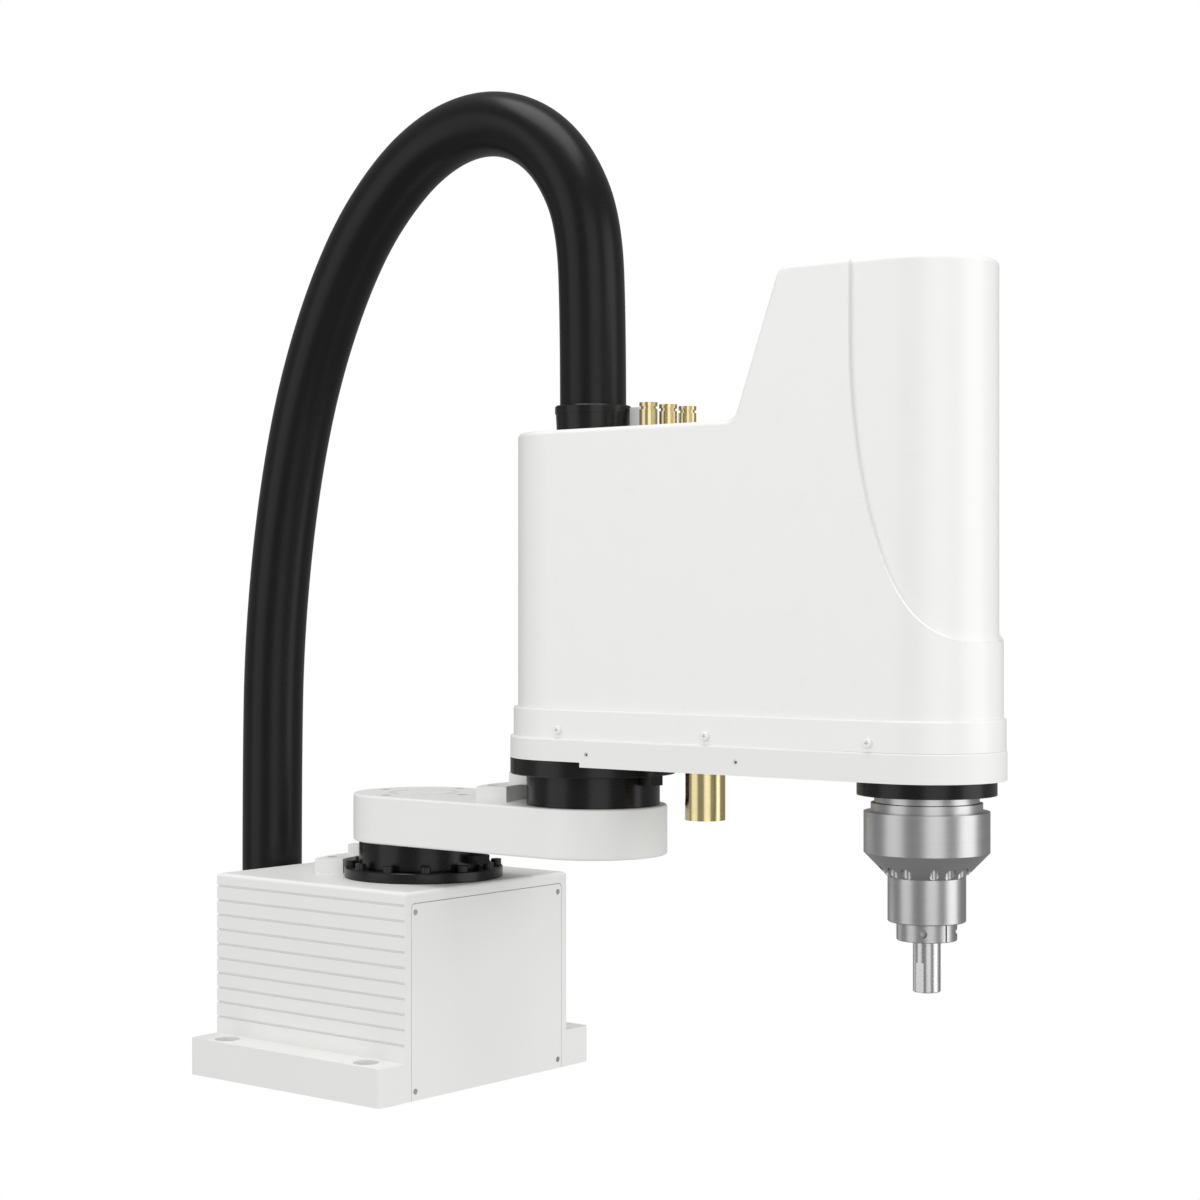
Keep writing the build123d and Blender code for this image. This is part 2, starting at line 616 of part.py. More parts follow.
def air_fitting():
    """Push-in air fitting along +Z on its local XY plane: stem below, body, neck and release rim above."""
    body_height = FITTING_HEIGHT - FITTING_NECK_HEIGHT - FITTING_RIM_HEIGHT
    with BuildPart() as fitting:
        with BuildSketch(Plane.XZ):
            with BuildLine():
                Polyline(
                    (0, -FITTING_STEM),
                    (FITTING_STEM_R, -FITTING_STEM),
                    (FITTING_STEM_R, 0),
                    (FITTING_R, 0),
                    (FITTING_R, body_height),
                    (FITTING_NECK_R, body_height),
                    (FITTING_NECK_R, body_height + FITTING_NECK_HEIGHT),
                    (FITTING_R, body_height + FITTING_NECK_HEIGHT),
                    (FITTING_R, FITTING_HEIGHT),
                    (0, FITTING_HEIGHT),
                    close=True,
                )
            make_face()
        revolve(axis=Axis.Z)
        with Locations((0, 0, FITTING_HEIGHT)):
            Hole(FITTING_BORE_R, FITTING_BORE_DEPTH)
    return fitting.part


with BuildPart() as base_air_fittings:
    with Locations(REAR_FACE):
        with Locations(*BASE_FITTING_POINTS):
            add(air_fitting())
keep(base_air_fittings, "base_air_fittings")


def servo_motor(size, height, shaft_radius, shaft_length):
    """A square servo motor standing on its local XY plane, its shaft pointing down and an encoder cap on top."""
    cap_height = height * 0.3
    with BuildPart() as motor:
        with BuildSketch():
            RectangleRounded(size, size, MOTOR_CORNER_R)
        extrude(amount=height * 0.1)
        with BuildSketch(Plane.XY.offset(height * 0.1)):
            RectangleRounded(size * 0.94, size * 0.94, MOTOR_CORNER_R)
        extrude(amount=height * 0.6)
        with BuildSketch(Plane.XY.offset(height * 0.7)):
            RectangleRounded(size * 0.86, size * 0.86, MOTOR_CORNER_R)
        extrude(amount=cap_height)
        chamfer(motor.faces().sort_by(Axis.Z)[-1].edges(), 1.5)
        Cylinder(shaft_radius, shaft_length, align=(Align.CENTER, Align.CENTER, Align.MAX))
    return motor.part


# First joint's motor hangs under the reducer inside the base, its shaft up.
J1_SPIGOT_Z = J1_FLANGE_TOP_Z - J1_FLANGE_THICKNESS - J1_SPIGOT_DEPTH
J1_PIVOT_Z = J1_FLANGE_TOP_Z - J1_PIVOT_DEPTH
with BuildPart() as j1_motor:
    with Locations(Plane(origin=(0, 0, J1_SPIGOT_Z), x_dir=(1, 0, 0), z_dir=(0, 0, -1))):
        add(servo_motor(LARGE_MOTOR_SIZE, J1_MOTOR_HEIGHT, LARGE_SHAFT_R, J1_PIVOT_Z - J1_SPIGOT_Z))
keep(j1_motor, "j1_motor")

# Reducer flange on the base's roof: the fixed half of the first joint.
with BuildPart() as j1_reducer_flange:
    with BuildSketch(Plane.XY.offset(BASE_HEIGHT)):
        Circle(J1_FLANGE_R)
    extrude(amount=J1_FLANGE_THICKNESS)
    chamfer(j1_reducer_flange.faces().sort_by(Axis.Z)[-1].edges(), 0.6)
    with BuildSketch(Plane.XY.offset(J1_SPIGOT_Z)):
        Circle(J1_SPIGOT_R)
    extrude(amount=J1_SPIGOT_DEPTH)
    with BuildSketch(Plane.XY.offset(J1_SPIGOT_Z)):
        Circle(J1_SHAFT_BORE_R)
    extrude(amount=J1_FLANGE_TOP_Z - J1_SPIGOT_Z, mode=Mode.SUBTRACT)
    with BuildSketch(Plane.XY.offset(J1_PIVOT_Z)):
        Circle(J1_PIVOT_R + RUNNING)
    extrude(amount=J1_PIVOT_DEPTH, mode=Mode.SUBTRACT)
    with BuildSketch(Plane.XY.offset(BASE_HEIGHT)):
        with PolarLocations(J1_BOLT_CIRCLE_R, J1_BOLT_COUNT, start_angle=J1_BOLT_TURN):
            Circle(M4_R + SCREW_PLAY)
    extrude(amount=J1_FLANGE_THICKNESS, mode=Mode.SUBTRACT)
keep(j1_reducer_flange, "j1_reducer_flange")

with BuildPart() as j1_flange_bolts:
    with Locations(Plane.XY.offset(J1_FLANGE_TOP_Z)):
        with PolarLocations(J1_BOLT_CIRCLE_R, J1_BOLT_COUNT, start_angle=J1_BOLT_TURN):
            add(cap_screw(M4_HEAD_R, M4_HEAD_HEIGHT, M4_R, M4_LENGTH))
keep(j1_flange_bolts, "j1_flange_bolts")


def stop_bracket(plane):
    """Curved stop bracket behind a joint, with a raised lug in its middle and two counterbored holes."""
    with BuildPart() as bracket:
        with BuildSketch(plane):
            ring_sector(STOP_INNER_R, STOP_OUTER_R, 180 - STOP_HALF_ANGLE, 180 + STOP_HALF_ANGLE)
        extrude(amount=STOP_THICKNESS)
        with BuildSketch(plane.offset(STOP_THICKNESS)):
            with Locations((-(STOP_LUG_INNER_R + STOP_LUG_OUTER_R) / 2, 0)):
                Rectangle(STOP_LUG_OUTER_R - STOP_LUG_INNER_R, STOP_LUG_WIDTH)
        extrude(amount=STOP_LUG_HEIGHT - STOP_THICKNESS)
        with BuildSketch(plane.offset(STOP_THICKNESS)):
            stop_bolt_spots(M4_HEAD_R + 4 * SCREW_PLAY)
        extrude(amount=-M4_HEAD_HEIGHT - 1.0, mode=Mode.SUBTRACT)
        with BuildSketch(plane):
            stop_bolt_spots(M4_R + SCREW_PLAY)
        extrude(amount=STOP_THICKNESS, mode=Mode.SUBTRACT)
    return bracket


def stop_bolt_spots(radius):
    """A circle of this radius at each of a stop bracket's two holes."""
    with PolarLocations(
        STOP_BOLT_R, 2, start_angle=180 - STOP_BOLT_ANGLE, angular_range=2 * STOP_BOLT_ANGLE, endpoint=True
    ):
        Circle(radius)


def stop_bolts(plane):
    """The two screws of a stop bracket, sunk below its top."""
    with BuildPart() as bolts:
        with Locations(plane.offset(STOP_THICKNESS - M4_HEAD_HEIGHT - 1.0)):
            with PolarLocations(
                STOP_BOLT_R, 2, start_angle=180 - STOP_BOLT_ANGLE, angular_range=2 * STOP_BOLT_ANGLE, endpoint=True
            ):
                add(cap_screw(M4_HEAD_R, M4_HEAD_HEIGHT, M4_R, M4_LENGTH))
    return bolts


BASE_STOP_PLANE = Plane.XY.offset(BASE_HEIGHT)
ELBOW_STOP_PLANE = Plane(origin=(ELBOW_X, 0, ARM_1_TOP_Z))
keep(stop_bracket(BASE_STOP_PLANE), "base_stop_bracket")
keep(stop_bolts(BASE_STOP_PLANE), "base_stop_bolts")

# Turning barrel of the first joint, with the tab that meets the stop bracket's lug.
with BuildPart() as j1_barrel:
    with BuildSketch(Plane.XY.offset(J1_FLANGE_TOP_Z + FACE_GAP)):
        Circle(J1_BARREL_R)
    extrude(amount=ARM_1_BOTTOM_Z - J1_FLANGE_TOP_Z - FACE_GAP)
    with BuildSketch(Plane.XY.offset(J1_PIVOT_Z + FACE_GAP)):
        Circle(J1_PIVOT_R)
    extrude(amount=J1_PIVOT_DEPTH)
    with BuildSketch(Plane.XY.offset(J1_TAB_Z)):
        with Locations((J1_TAB_R / 2, 0)):
            Rectangle(J1_TAB_R, TAB_WIDTH)
    extrude(amount=J1_TAB_HEIGHT)
    with BuildSketch(Plane.XY.offset(ARM_1_BOTTOM_Z)):
        with PolarLocations(HUB_BOLT_R, HUB_BOLT_COUNT):
            Circle(M4_R + SCREW_PLAY)
    extrude(amount=-10.0, mode=Mode.SUBTRACT)
keep(j1_barrel, "j1_barrel")

# First arm: a stadium-shaped casting, ribbed and hollow underneath, with the hub ring let into its top.
with BuildPart() as arm_1_link:
    with BuildSketch(Plane.XY.offset(ARM_1_BOTTOM_Z)):
        with Locations((ARM_1_LENGTH / 2, 0)):
            SlotCenterToCenter(ARM_1_LENGTH, 2 * ARM_1_R)
    extrude(amount=ARM_1_THICKNESS)
    fillet(arm_1_link.edges().filter_by(Plane.XY), ARM_1_EDGE_R)
    with BuildSketch(Plane.XY.offset(ARM_1_BOTTOM_Z)) as arm_1_pockets:
        with Locations((ARM_1_LENGTH / 2, 0)):
            Rectangle(ARM_1_LENGTH, 2 * (ARM_1_R - ARM_1_SKIN))
            Rectangle(ARM_1_LENGTH, ARM_1_RIB, mode=Mode.SUBTRACT)
            Rectangle(ARM_1_RIB, 2 * ARM_1_R, mode=Mode.SUBTRACT)
        with Locations((0, 0), (ELBOW_X, 0)):
            Circle(J1_BARREL_R + 2.0, mode=Mode.SUBTRACT)
        fillet(arm_1_pockets.vertices(), 2.0)
    extrude(amount=ARM_1_THICKNESS - ARM_1_SKIN, mode=Mode.SUBTRACT)
    for start, end in HUB_ARCS:
        with BuildSketch(Plane.XY.offset(ARM_1_TOP_Z)):
            ring_sector(
                HUB_RING_R - HUB_RING_WIDTH / 2,
                HUB_RING_R + HUB_RING_WIDTH / 2,
                start + HUB_WEB_ANGLE / 2,
                end - HUB_WEB_ANGLE / 2,
            )
        extrude(amount=-HUB_RING_DEPTH, mode=Mode.SUBTRACT)
    with BuildSketch(Plane.XY.offset(ARM_1_TOP_Z)):
        with PolarLocations(HUB_BOLT_R, HUB_BOLT_COUNT):
            Circle(M4_HEAD_R + 4 * SCREW_PLAY)
    extrude(amount=-HUB_BOLT_BORE_DEPTH, mode=Mode.SUBTRACT)
    with BuildSketch(Plane.XY.offset(ARM_1_TOP_Z)):
        with PolarLocations(HUB_BOLT_R, HUB_BOLT_COUNT):
            Circle(M4_R + SCREW_PLAY)
    extrude(amount=-ARM_1_THICKNESS, mode=Mode.SUBTRACT)
    with BuildSketch(ELBOW_STOP_PLANE):
        stop_bolt_spots(M4_R + SCREW_PLAY)
    extrude(amount=-M4_LENGTH, mode=Mode.SUBTRACT)
    with BuildSketch(Plane(origin=(ELBOW_X, 0, ARM_1_BOTTOM_Z))):
        with PolarLocations(J2_BOLT_CIRCLE_R, J2_BOLT_COUNT):
            Circle(M4_R + SCREW_PLAY)
    extrude(amount=ARM_1_THICKNESS, mode=Mode.SUBTRACT)
    with BuildSketch(Plane(origin=(ELBOW_X, 0, ARM_1_BOTTOM_Z))):
        with PolarLocations(J2_BOLT_CIRCLE_R, J2_BOLT_COUNT):
            Circle(M4_HEAD_R + 4 * SCREW_PLAY)
    extrude(amount=HUB_BOLT_BORE_DEPTH, mode=Mode.SUBTRACT)
keep(arm_1_link, "arm_1_link")

HUB_BOLT_LENGTH = ARM_1_THICKNESS - HUB_BOLT_BORE_DEPTH + 9.0
with BuildPart() as j1_hub_bolts:
    with Locations(Plane.XY.offset(ARM_1_TOP_Z - HUB_BOLT_BORE_DEPTH)):
        with PolarLocations(HUB_BOLT_R, HUB_BOLT_COUNT):
            add(cap_screw(M4_HEAD_R, M4_HEAD_HEIGHT, M4_R, HUB_BOLT_LENGTH))
keep(j1_hub_bolts, "j1_hub_bolts")
keep(stop_bracket(ELBOW_STOP_PLANE), "elbow_stop_bracket")
keep(stop_bolts(ELBOW_STOP_PLANE), "elbow_stop_bolts")

# Elbow barrel, bolted to the first arm from below, with the bore that carries the disc's pivot.
ELBOW_AXIS = Plane(origin=(ELBOW_X, 0, 0))
with BuildPart() as j2_barrel:
    with BuildSketch(ELBOW_AXIS.offset(ARM_1_TOP_Z)):
        Circle(J2_BARREL_R)
    extrude(amount=J2_BARREL_HEIGHT - FACE_GAP)
    chamfer(j2_barrel.faces().sort_by(Axis.Z)[-1].edges(), 0.5)
    with BuildSketch(ELBOW_AXIS.offset(J2_DISC_Z - J2_PIVOT_DEPTH)):
        Circle(J2_PIVOT_R + RUNNING)
    extrude(amount=J2_PIVOT_DEPTH, mode=Mode.SUBTRACT)
    with BuildSketch(ELBOW_AXIS.offset(ARM_1_TOP_Z)):
        with PolarLocations(J2_BOLT_CIRCLE_R, J2_BOLT_COUNT):
            Circle(M4_R + SCREW_PLAY)
    extrude(amount=10.0, mode=Mode.SUBTRACT)
keep(j2_barrel, "j2_barrel")

with BuildPart() as j2_barrel_bolts:
    with Locations(Plane(origin=(ELBOW_X, 0, ARM_1_BOTTOM_Z + HUB_BOLT_BORE_DEPTH), x_dir=(1, 0, 0), z_dir=(0, 0, -1))):
        with PolarLocations(J2_BOLT_CIRCLE_R, J2_BOLT_COUNT):
            add(cap_screw(M4_HEAD_R, M4_HEAD_HEIGHT, M4_R, HUB_BOLT_LENGTH))
keep(j2_barrel_bolts, "j2_barrel_bolts")

# Elbow disc: the turning half of the second joint, under the second arm, with its stop tab and pivot.
with BuildPart() as j2_disc:
    with BuildSketch(ELBOW_AXIS.offset(J2_DISC_Z)):
        Circle(J2_DISC_R)
    extrude(amount=J2_DISC_THICKNESS)
    chamfer(j2_disc.faces().sort_by(Axis.Z)[0].edges(), 0.5)
    with BuildSketch(ELBOW_AXIS.offset(J2_DISC_Z - J2_PIVOT_DEPTH + FACE_GAP)):
        Circle(J2_PIVOT_R)
    extrude(amount=J2_PIVOT_DEPTH)
    with BuildSketch(ELBOW_AXIS.offset(J2_DISC_Z - J2_TAB_HEIGHT)):
        with Locations(((J2_BARREL_R + FACE_GAP + J2_TAB_R) / 2, 0)):
            Rectangle(J2_TAB_R - J2_BARREL_R - FACE_GAP, TAB_WIDTH)
    extrude(amount=J2_TAB_HEIGHT)
    with BuildSketch(ELBOW_AXIS.offset(J2_DISC_Z)):
        Circle(J1_SHAFT_BORE_R)
    extrude(amount=J2_DISC_THICKNESS, mode=Mode.SUBTRACT)
    with BuildSketch(ELBOW_AXIS.offset(J2_TOP_Z)):
        with PolarLocations(J2_DISC_BOLT_R, J2_BOLT_COUNT, start_angle=J1_BOLT_TURN):
            Circle(M4_R + SCREW_PLAY)
    extrude(amount=-8.0, mode=Mode.SUBTRACT)
keep(j2_disc, "j2_disc")

# Second arm's casting: a shallow tray with a rim that the cover fits over, its underside stepped at the elbow.
TOOL_AXIS = Plane(origin=(TOOL_X, 0, 0))
RIM_REAR_R = BAND_REAR_R - COVER_WALL - FACE_GAP
RIM_FRONT_R = BAND_FRONT_R - COVER_WALL - FACE_GAP
with BuildPart() as arm_2_casting:
    with BuildSketch(Plane.XY.offset(CASTING_BOTTOM_Z)):
        tapered_outline(CASTING_REAR_R, CASTING_FRONT_R)
    extrude(amount=CASTING_TOP_Z - CASTING_BOTTOM_Z)
    fillet(arm_2_casting.faces().sort_by(Axis.Z)[-1].edges(), CASTING_EDGE_R)
    with BuildSketch(Plane.XY.offset(CASTING_BOTTOM_Z)):
        with Locations((CASTING_STEP_X, 0)):
            Rectangle(2 * CASTING_REAR_R + ELBOW_X, 2 * CASTING_REAR_R, align=(Align.MAX, Align.CENTER))
        with Locations((ELBOW_X, 0)):
            Circle(J2_DISC_R + SCREW_PLAY)
    extrude(amount=CASTING_STEP, mode=Mode.SUBTRACT)
    with BuildSketch(Plane.XY.offset(CASTING_TOP_Z)):
        tapered_outline(RIM_REAR_R, RIM_FRONT_R)
    extrude(amount=RIM_TOP_Z - CASTING_TOP_Z)
    with BuildSketch(Plane.XY.offset(CASTING_FLOOR_Z)):
        tapered_outline(RIM_REAR_R - RIM_THICKNESS, RIM_FRONT_R - RIM_THICKNESS)
    extrude(amount=RIM_TOP_Z - CASTING_FLOOR_Z, mode=Mode.SUBTRACT)
    with BuildSketch(ELBOW_AXIS.offset(CASTING_FLOOR_Z)):
        Circle(J1_SHAFT_BORE_R)
    extrude(amount=-CASTING_FLOOR, mode=Mode.SUBTRACT)
    with BuildSketch(ELBOW_AXIS.offset(CASTING_FLOOR_Z)):
        with PolarLocations(J2_DISC_BOLT_R, J2_BOLT_COUNT, start_angle=J1_BOLT_TURN):
            Circle(M4_R + SCREW_PLAY)
    extrude(amount=-CASTING_FLOOR, mode=Mode.SUBTRACT)
    with BuildSketch(Plane.XY.offset(CASTING_FLOOR_Z)):
        with Locations((SLEEVE_X, 0)):
            Circle(SLEEVE_R + SCREW_PLAY)
        with Locations((TOOL_X, 0)):
            Circle(HOUSING_TUBE_R + SCREW_PLAY)
    extrude(amount=CASTING_BOTTOM_Z - CASTING_FLOOR_Z, mode=Mode.SUBTRACT)
    for x in COVER_SCREW_X:
        for side in (1, -1):
            with BuildSketch(flank_plane(x, side, COVER_SCREW_Z, BAND_REAR_R, BAND_FRONT_R)):
                Circle(COVER_SCREW_R + SCREW_PLAY)
            extrude(amount=-3 * COVER_WALL, mode=Mode.SUBTRACT)
    for x in CASTING_SCREW_X:
        for side in (1, -1):
            with BuildSketch(flank_plane(x, side, CASTING_SCREW_Z, CASTING_REAR_R, CASTING_FRONT_R)):
                Circle(CASTING_SCREW_R + SCREW_PLAY)
            extrude(amount=-CASTING_SCREW_LENGTH - 1.0, mode=Mode.SUBTRACT)
keep(arm_2_casting, "arm_2_casting")

with BuildPart() as casting_set_screws:
    for x in CASTING_SCREW_X:
        for side in (1, -1):
            with BuildSketch(flank_plane(x, side, CASTING_SCREW_Z, CASTING_REAR_R, CASTING_FRONT_R).offset(-0.4)):
                Circle(CASTING_SCREW_R)
                RegularPolygon(CASTING_SCREW_R * 0.5, 6, mode=Mode.SUBTRACT)
            extrude(amount=-CASTING_SCREW_LENGTH)
keep(casting_set_screws, "casting_set_screws")

with BuildPart() as j2_disc_bolts:
    with Locations(ELBOW_AXIS.offset(CASTING_FLOOR_Z)):
        with PolarLocations(J2_DISC_BOLT_R, J2_BOLT_COUNT, start_angle=J1_BOLT_TURN):
            add(cap_screw(M4_HEAD_R, M4_HEAD_HEIGHT, M4_R, M4_LENGTH))
keep(j2_disc_bolts, "j2_disc_bolts")

with BuildPart() as j2_motor:
    with Locations(ELBOW_AXIS.offset(CASTING_FLOOR_Z)):
        add(
            servo_motor(
                LARGE_MOTOR_SIZE,
                J2_MOTOR_HEIGHT,
                LARGE_SHAFT_R,
                CASTING_FLOOR_Z - J2_DISC_Z - FACE_GAP,
            )
        )
keep(j2_motor, "j2_motor")


# Second arm's cover: one moulded shell. The front column is let in behind a curved step.
def side_profile(inset):
    """Side view of the cover, drawn smaller by inset: low over the elbow, a sloping shoulder, a tall column."""
    slope = atan2(COLUMN_TOP_Z - COVER_REAR_TOP_Z, COVER_SHOULDER_X - COVER_FOOT_X)
    rear_top = COVER_REAR_TOP_Z - inset
    column_top = COLUMN_TOP_Z - inset
    shift = inset / sin(slope)
    foot_x = COVER_FOOT_X + shift - inset / tan(slope)
    shoulder_x = COVER_SHOULDER_X + shift - inset / tan(slope)
    rear_x = ELBOW_X - BAND_REAR_R - 1.0
    front_x = TOOL_X + BAND_FRONT_R + 1.0
    bottom = CASTING_TOP_Z
    with BuildLine() as outline:
        FilletPolyline(
            (rear_x, rear_top),
            (foot_x, rear_top),
            (shoulder_x, column_top),
            (front_x, column_top),
            radius=COLUMN_FILLET_R,
        )
        Polyline((front_x, column_top), (front_x, bottom), (rear_x, bottom), (rear_x, rear_top))
    make_face(outline.edges())


def nose_region(grow):
    """Side view of the let-in column: in front of a vertical line that sweeps forward in a quarter ellipse."""
    side_x = NOSE_SIDE_X - grow
    bottom_z = NOSE_BOTTOM_Z - grow
    far_x = TOOL_X + 2 * COVER_FRONT_R
    top_z = COLUMN_TOP_Z + COVER_FRONT_R
    with BuildLine() as outline:
        EllipticalCenterArc(
            (NOSE_CURVE_X, NOSE_CURVE_Z),
            NOSE_CURVE_X - side_x,
            NOSE_CURVE_Z - bottom_z,
            start_angle=180,
            arc_size=90,
        )
        Polyline(
            (NOSE_CURVE_X, bottom_z),
            (far_x, bottom_z),
            (far_x, top_z),
            (side_x, top_z),
            (side_x, NOSE_CURVE_Z),
        )
    make_face(outline.edges())


def cover_body(rear_radius, front_radius, bottom_z, inset, edge_radius):
    """A cover form with this plan, cut to the side profile drawn smaller by inset, its upper edges rounded."""
    with BuildPart() as body:
        with BuildSketch(Plane.XY.offset(bottom_z)):
            tapered_outline(rear_radius, front_radius)
        extrude(amount=COLUMN_TOP_Z + 1.0 - bottom_z)
        with BuildSketch(Plane.XZ):
            side_profile(inset)
        extrude(amount=COVER_REAR_R + BAND_REAR_R, both=True, mode=Mode.INTERSECT)
        upper_faces = body.faces().filter_by(lambda face: face.normal_at(face.center()).Z > 0.1)
        fillet(upper_faces.edges().filter_by(Axis.Y, reverse=True), edge_radius)
    return body.part


def nose_recess(grow, inset, edge_radius):
    """What the step takes off a cover form round the column: the column's region less the column itself."""
    with BuildPart() as recess:
        with BuildSketch(Plane.XZ):
            nose_region(grow)
        extrude(amount=2 * BAND_REAR_R, both=True)
        add(
            cover_body(COVER_REAR_R - inset, COVER_FRONT_R - inset, BAND_TOP_Z - grow, grow, edge_radius),
            mode=Mode.SUBTRACT,
        )
    return recess.part


with BuildPart() as cover_hollow:
    with BuildSketch(Plane.XY.offset(CASTING_TOP_Z)):
        tapered_outline(BAND_REAR_R - COVER_WALL, BAND_FRONT_R - COVER_WALL)
    extrude(amount=BAND_TOP_Z - COVER_WALL - CASTING_TOP_Z)
    add(
        cover_body(
            COVER_REAR_R - COVER_WALL,
            COVER_FRONT_R - COVER_WALL,
            BAND_TOP_Z - COVER_WALL,
            COVER_WALL,
            COVER_EDGE_R / 3,
        )
    )
    add(nose_recess(COVER_WALL, NOSE_INSET + COVER_WALL, COVER_EDGE_R / 3), mode=Mode.SUBTRACT)

FITTING_SPOTS = [(FITTING_X, side * FITTING_PITCH) for side in (-1, 0, 1)]
with BuildPart() as arm_2_cover:
    with BuildSketch(Plane.XY.offset(CASTING_TOP_Z)):
        tapered_outline(BAND_REAR_R, BAND_FRONT_R)
    extrude(amount=BAND_TOP_Z - CASTING_TOP_Z)
    fillet(arm_2_cover.faces().sort_by(Axis.Z)[-1].edges(), BAND_EDGE_R)
    add(cover_body(COVER_REAR_R, COVER_FRONT_R, BAND_TOP_Z - BAND_EDGE_R, 0, COVER_EDGE_R))
    add(nose_recess(0, NOSE_INSET, COVER_EDGE_R), mode=Mode.SUBTRACT)
    add(cover_hollow.part, mode=Mode.SUBTRACT)
    with BuildSketch(Plane.XY.offset(COVER_REAR_TOP_Z)):
        with Locations((ELBOW_X, 0)):
            Circle(COLLAR_BORE_R)
        with Locations((SOCKET_X, SOCKET_Y)):
            Rectangle(SOCKET_LENGTH - 4.0, SOCKET_WIDTH - 8.0)
        with Locations(*FITTING_SPOTS):
            Circle(FITTING_STEM_R + SCREW_PLAY)
    extrude(amount=-2 * COVER_WALL, mode=Mode.SUBTRACT)
    for x in COVER_SCREW_X:
        for side in (1, -1):
            with BuildSketch(flank_plane(x, side, COVER_SCREW_Z, BAND_REAR_R, BAND_FRONT_R)):
                Circle(COVER_SCREW_R + SCREW_PLAY)
            extrude(amount=-2 * COVER_WALL, mode=Mode.SUBTRACT)
keep(arm_2_cover, "arm_2_cover")


def pan_screw():
    """A pan-head screw with a cross recess, standing on its local XY plane, its thread below."""
    with BuildPart() as screw:
        Cylinder(COVER_SCREW_HEAD_R, COVER_SCREW_HEAD_HEIGHT, align=(Align.CENTER, Align.CENTER, Align.MIN))
        chamfer(screw.faces().sort_by(Axis.Z)[-1].edges(), 0.6)
        Cylinder(COVER_SCREW_R, COVER_SCREW_LENGTH, align=(Align.CENTER, Align.CENTER, Align.MAX))
        with BuildSketch(Plane.XY.offset(COVER_SCREW_HEAD_HEIGHT)):
            Rectangle(COVER_SCREW_HEAD_R, 0.7)
            Rectangle(0.7, COVER_SCREW_HEAD_R)
        extrude(amount=-1.1, mode=Mode.SUBTRACT)
    return screw.part


with BuildPart() as cover_screws:
    for x in COVER_SCREW_X:
        for side in (1, -1):
            with Locations(flank_plane(x, side, COVER_SCREW_Z, BAND_REAR_R, BAND_FRONT_R)):
                add(pan_screw())
keep(cover_screws, "cover_screws")


# Cable hose: one smooth tube from the duct over to the elbow axis, with its bends as tangent arcs.
def bend_radii(points):
    """The radius at each inner route point whose arc uses the set share of the shorter run beside it."""
    radii = []
    for before, corner, after in zip(points, points[1:], points[2:]):
        run_in = (corner[0] - before[0], corner[1] - before[1])
        run_out = (after[0] - corner[0], after[1] - corner[1])
        turn = abs(atan2(run_in[1], run_in[0]) - atan2(run_out[1], run_out[0]))
        radii.append(HOSE_ARC_SHARE * min(hypot(*run_in), hypot(*run_out)) / tan(turn / 2))
    return radii


HOSE_RADII = bend_radii(HOSE_POINTS)
print("hose bend radii:", [round(radius, 1) for radius in HOSE_RADII])
with BuildPart() as cable_hose:
    with BuildLine(Plane.XZ) as hose_route:
        FilletPolyline(*HOSE_POINTS, radius=HOSE_RADII)
    with BuildSketch(Plane(origin=(HOSE_FOOT_X, 0, HOSE_FOOT_Z))):
        Circle(HOSE_R)
    sweep(path=hose_route.wire())
hose_length = hose_route.wire().length
print("hose length:", round(hose_length, 1), "volume check:", cable_hose.part.volume / (pi * HOSE_R**2 * hose_length))
keep(cable_hose, "cable_hose")

# Collar that carries the hose's upper end and turns round it with the second arm.
COLLAR_TOP_Z = COVER_REAR_TOP_Z + COLLAR_HEIGHT
COLLAR_SEAT_Z = HOSE_END_Z - FACE_GAP
with BuildPart() as hose_collar:
    with BuildSketch(Plane(origin=(ELBOW_X, 0, 0), x_dir=(1, 0, 0), z_dir=(0, -1, 0))):
        with BuildLine():
            Polyline(
                (COLLAR_BORE_R, COVER_REAR_TOP_Z),
                (COLLAR_FOOT_R, COVER_REAR_TOP_Z),
                (COLLAR_R - 0.5, COLLAR_TOP_Z - COLLAR_LIP),
                (COLLAR_R, COLLAR_TOP_Z - COLLAR_LIP),
                (COLLAR_R, COLLAR_TOP_Z - 0.8),
                (COLLAR_R - 0.8, COLLAR_TOP_Z),
                (HOSE_R + COLLAR_PLAY, COLLAR_TOP_Z),
                (HOSE_R + COLLAR_PLAY, COLLAR_SEAT_Z),
                (COLLAR_BORE_R, COLLAR_SEAT_Z),
                close=True,
            )
        make_face()
    revolve(axis=Axis((ELBOW_X, 0, 0), (0, 0, 1)))
keep(hose_collar, "hose_collar")

# User socket beside the collar.
with BuildPart() as user_socket:
    with BuildSketch(Plane.XY.offset(COVER_REAR_TOP_Z)):
        with Locations((SOCKET_X, SOCKET_Y)):
            RectangleRounded(SOCKET_LENGTH, SOCKET_WIDTH, 1.0)
    extrude(amount=SOCKET_HEIGHT)
    chamfer(user_socket.faces().sort_by(Axis.Z)[-1].edges(), 0.5)
    with BuildSketch(Plane.XY.offset(COVER_REAR_TOP_Z + SOCKET_HEIGHT)):
        with Locations((SOCKET_X, SOCKET_Y)):
            RectangleRounded(SOCKET_LENGTH - 4.0, SOCKET_WIDTH - 4.0, 1.0)
    extrude(amount=-6.0, mode=Mode.SUBTRACT)
keep(user_socket, "user_socket")

with BuildPart() as arm_air_fittings:
    with Locations(Plane.XY.offset(COVER_REAR_TOP_Z)):
        with Locations(*FITTING_SPOTS):
            add(air_fitting())
keep(arm_air_fittings, "arm_air_fittings")

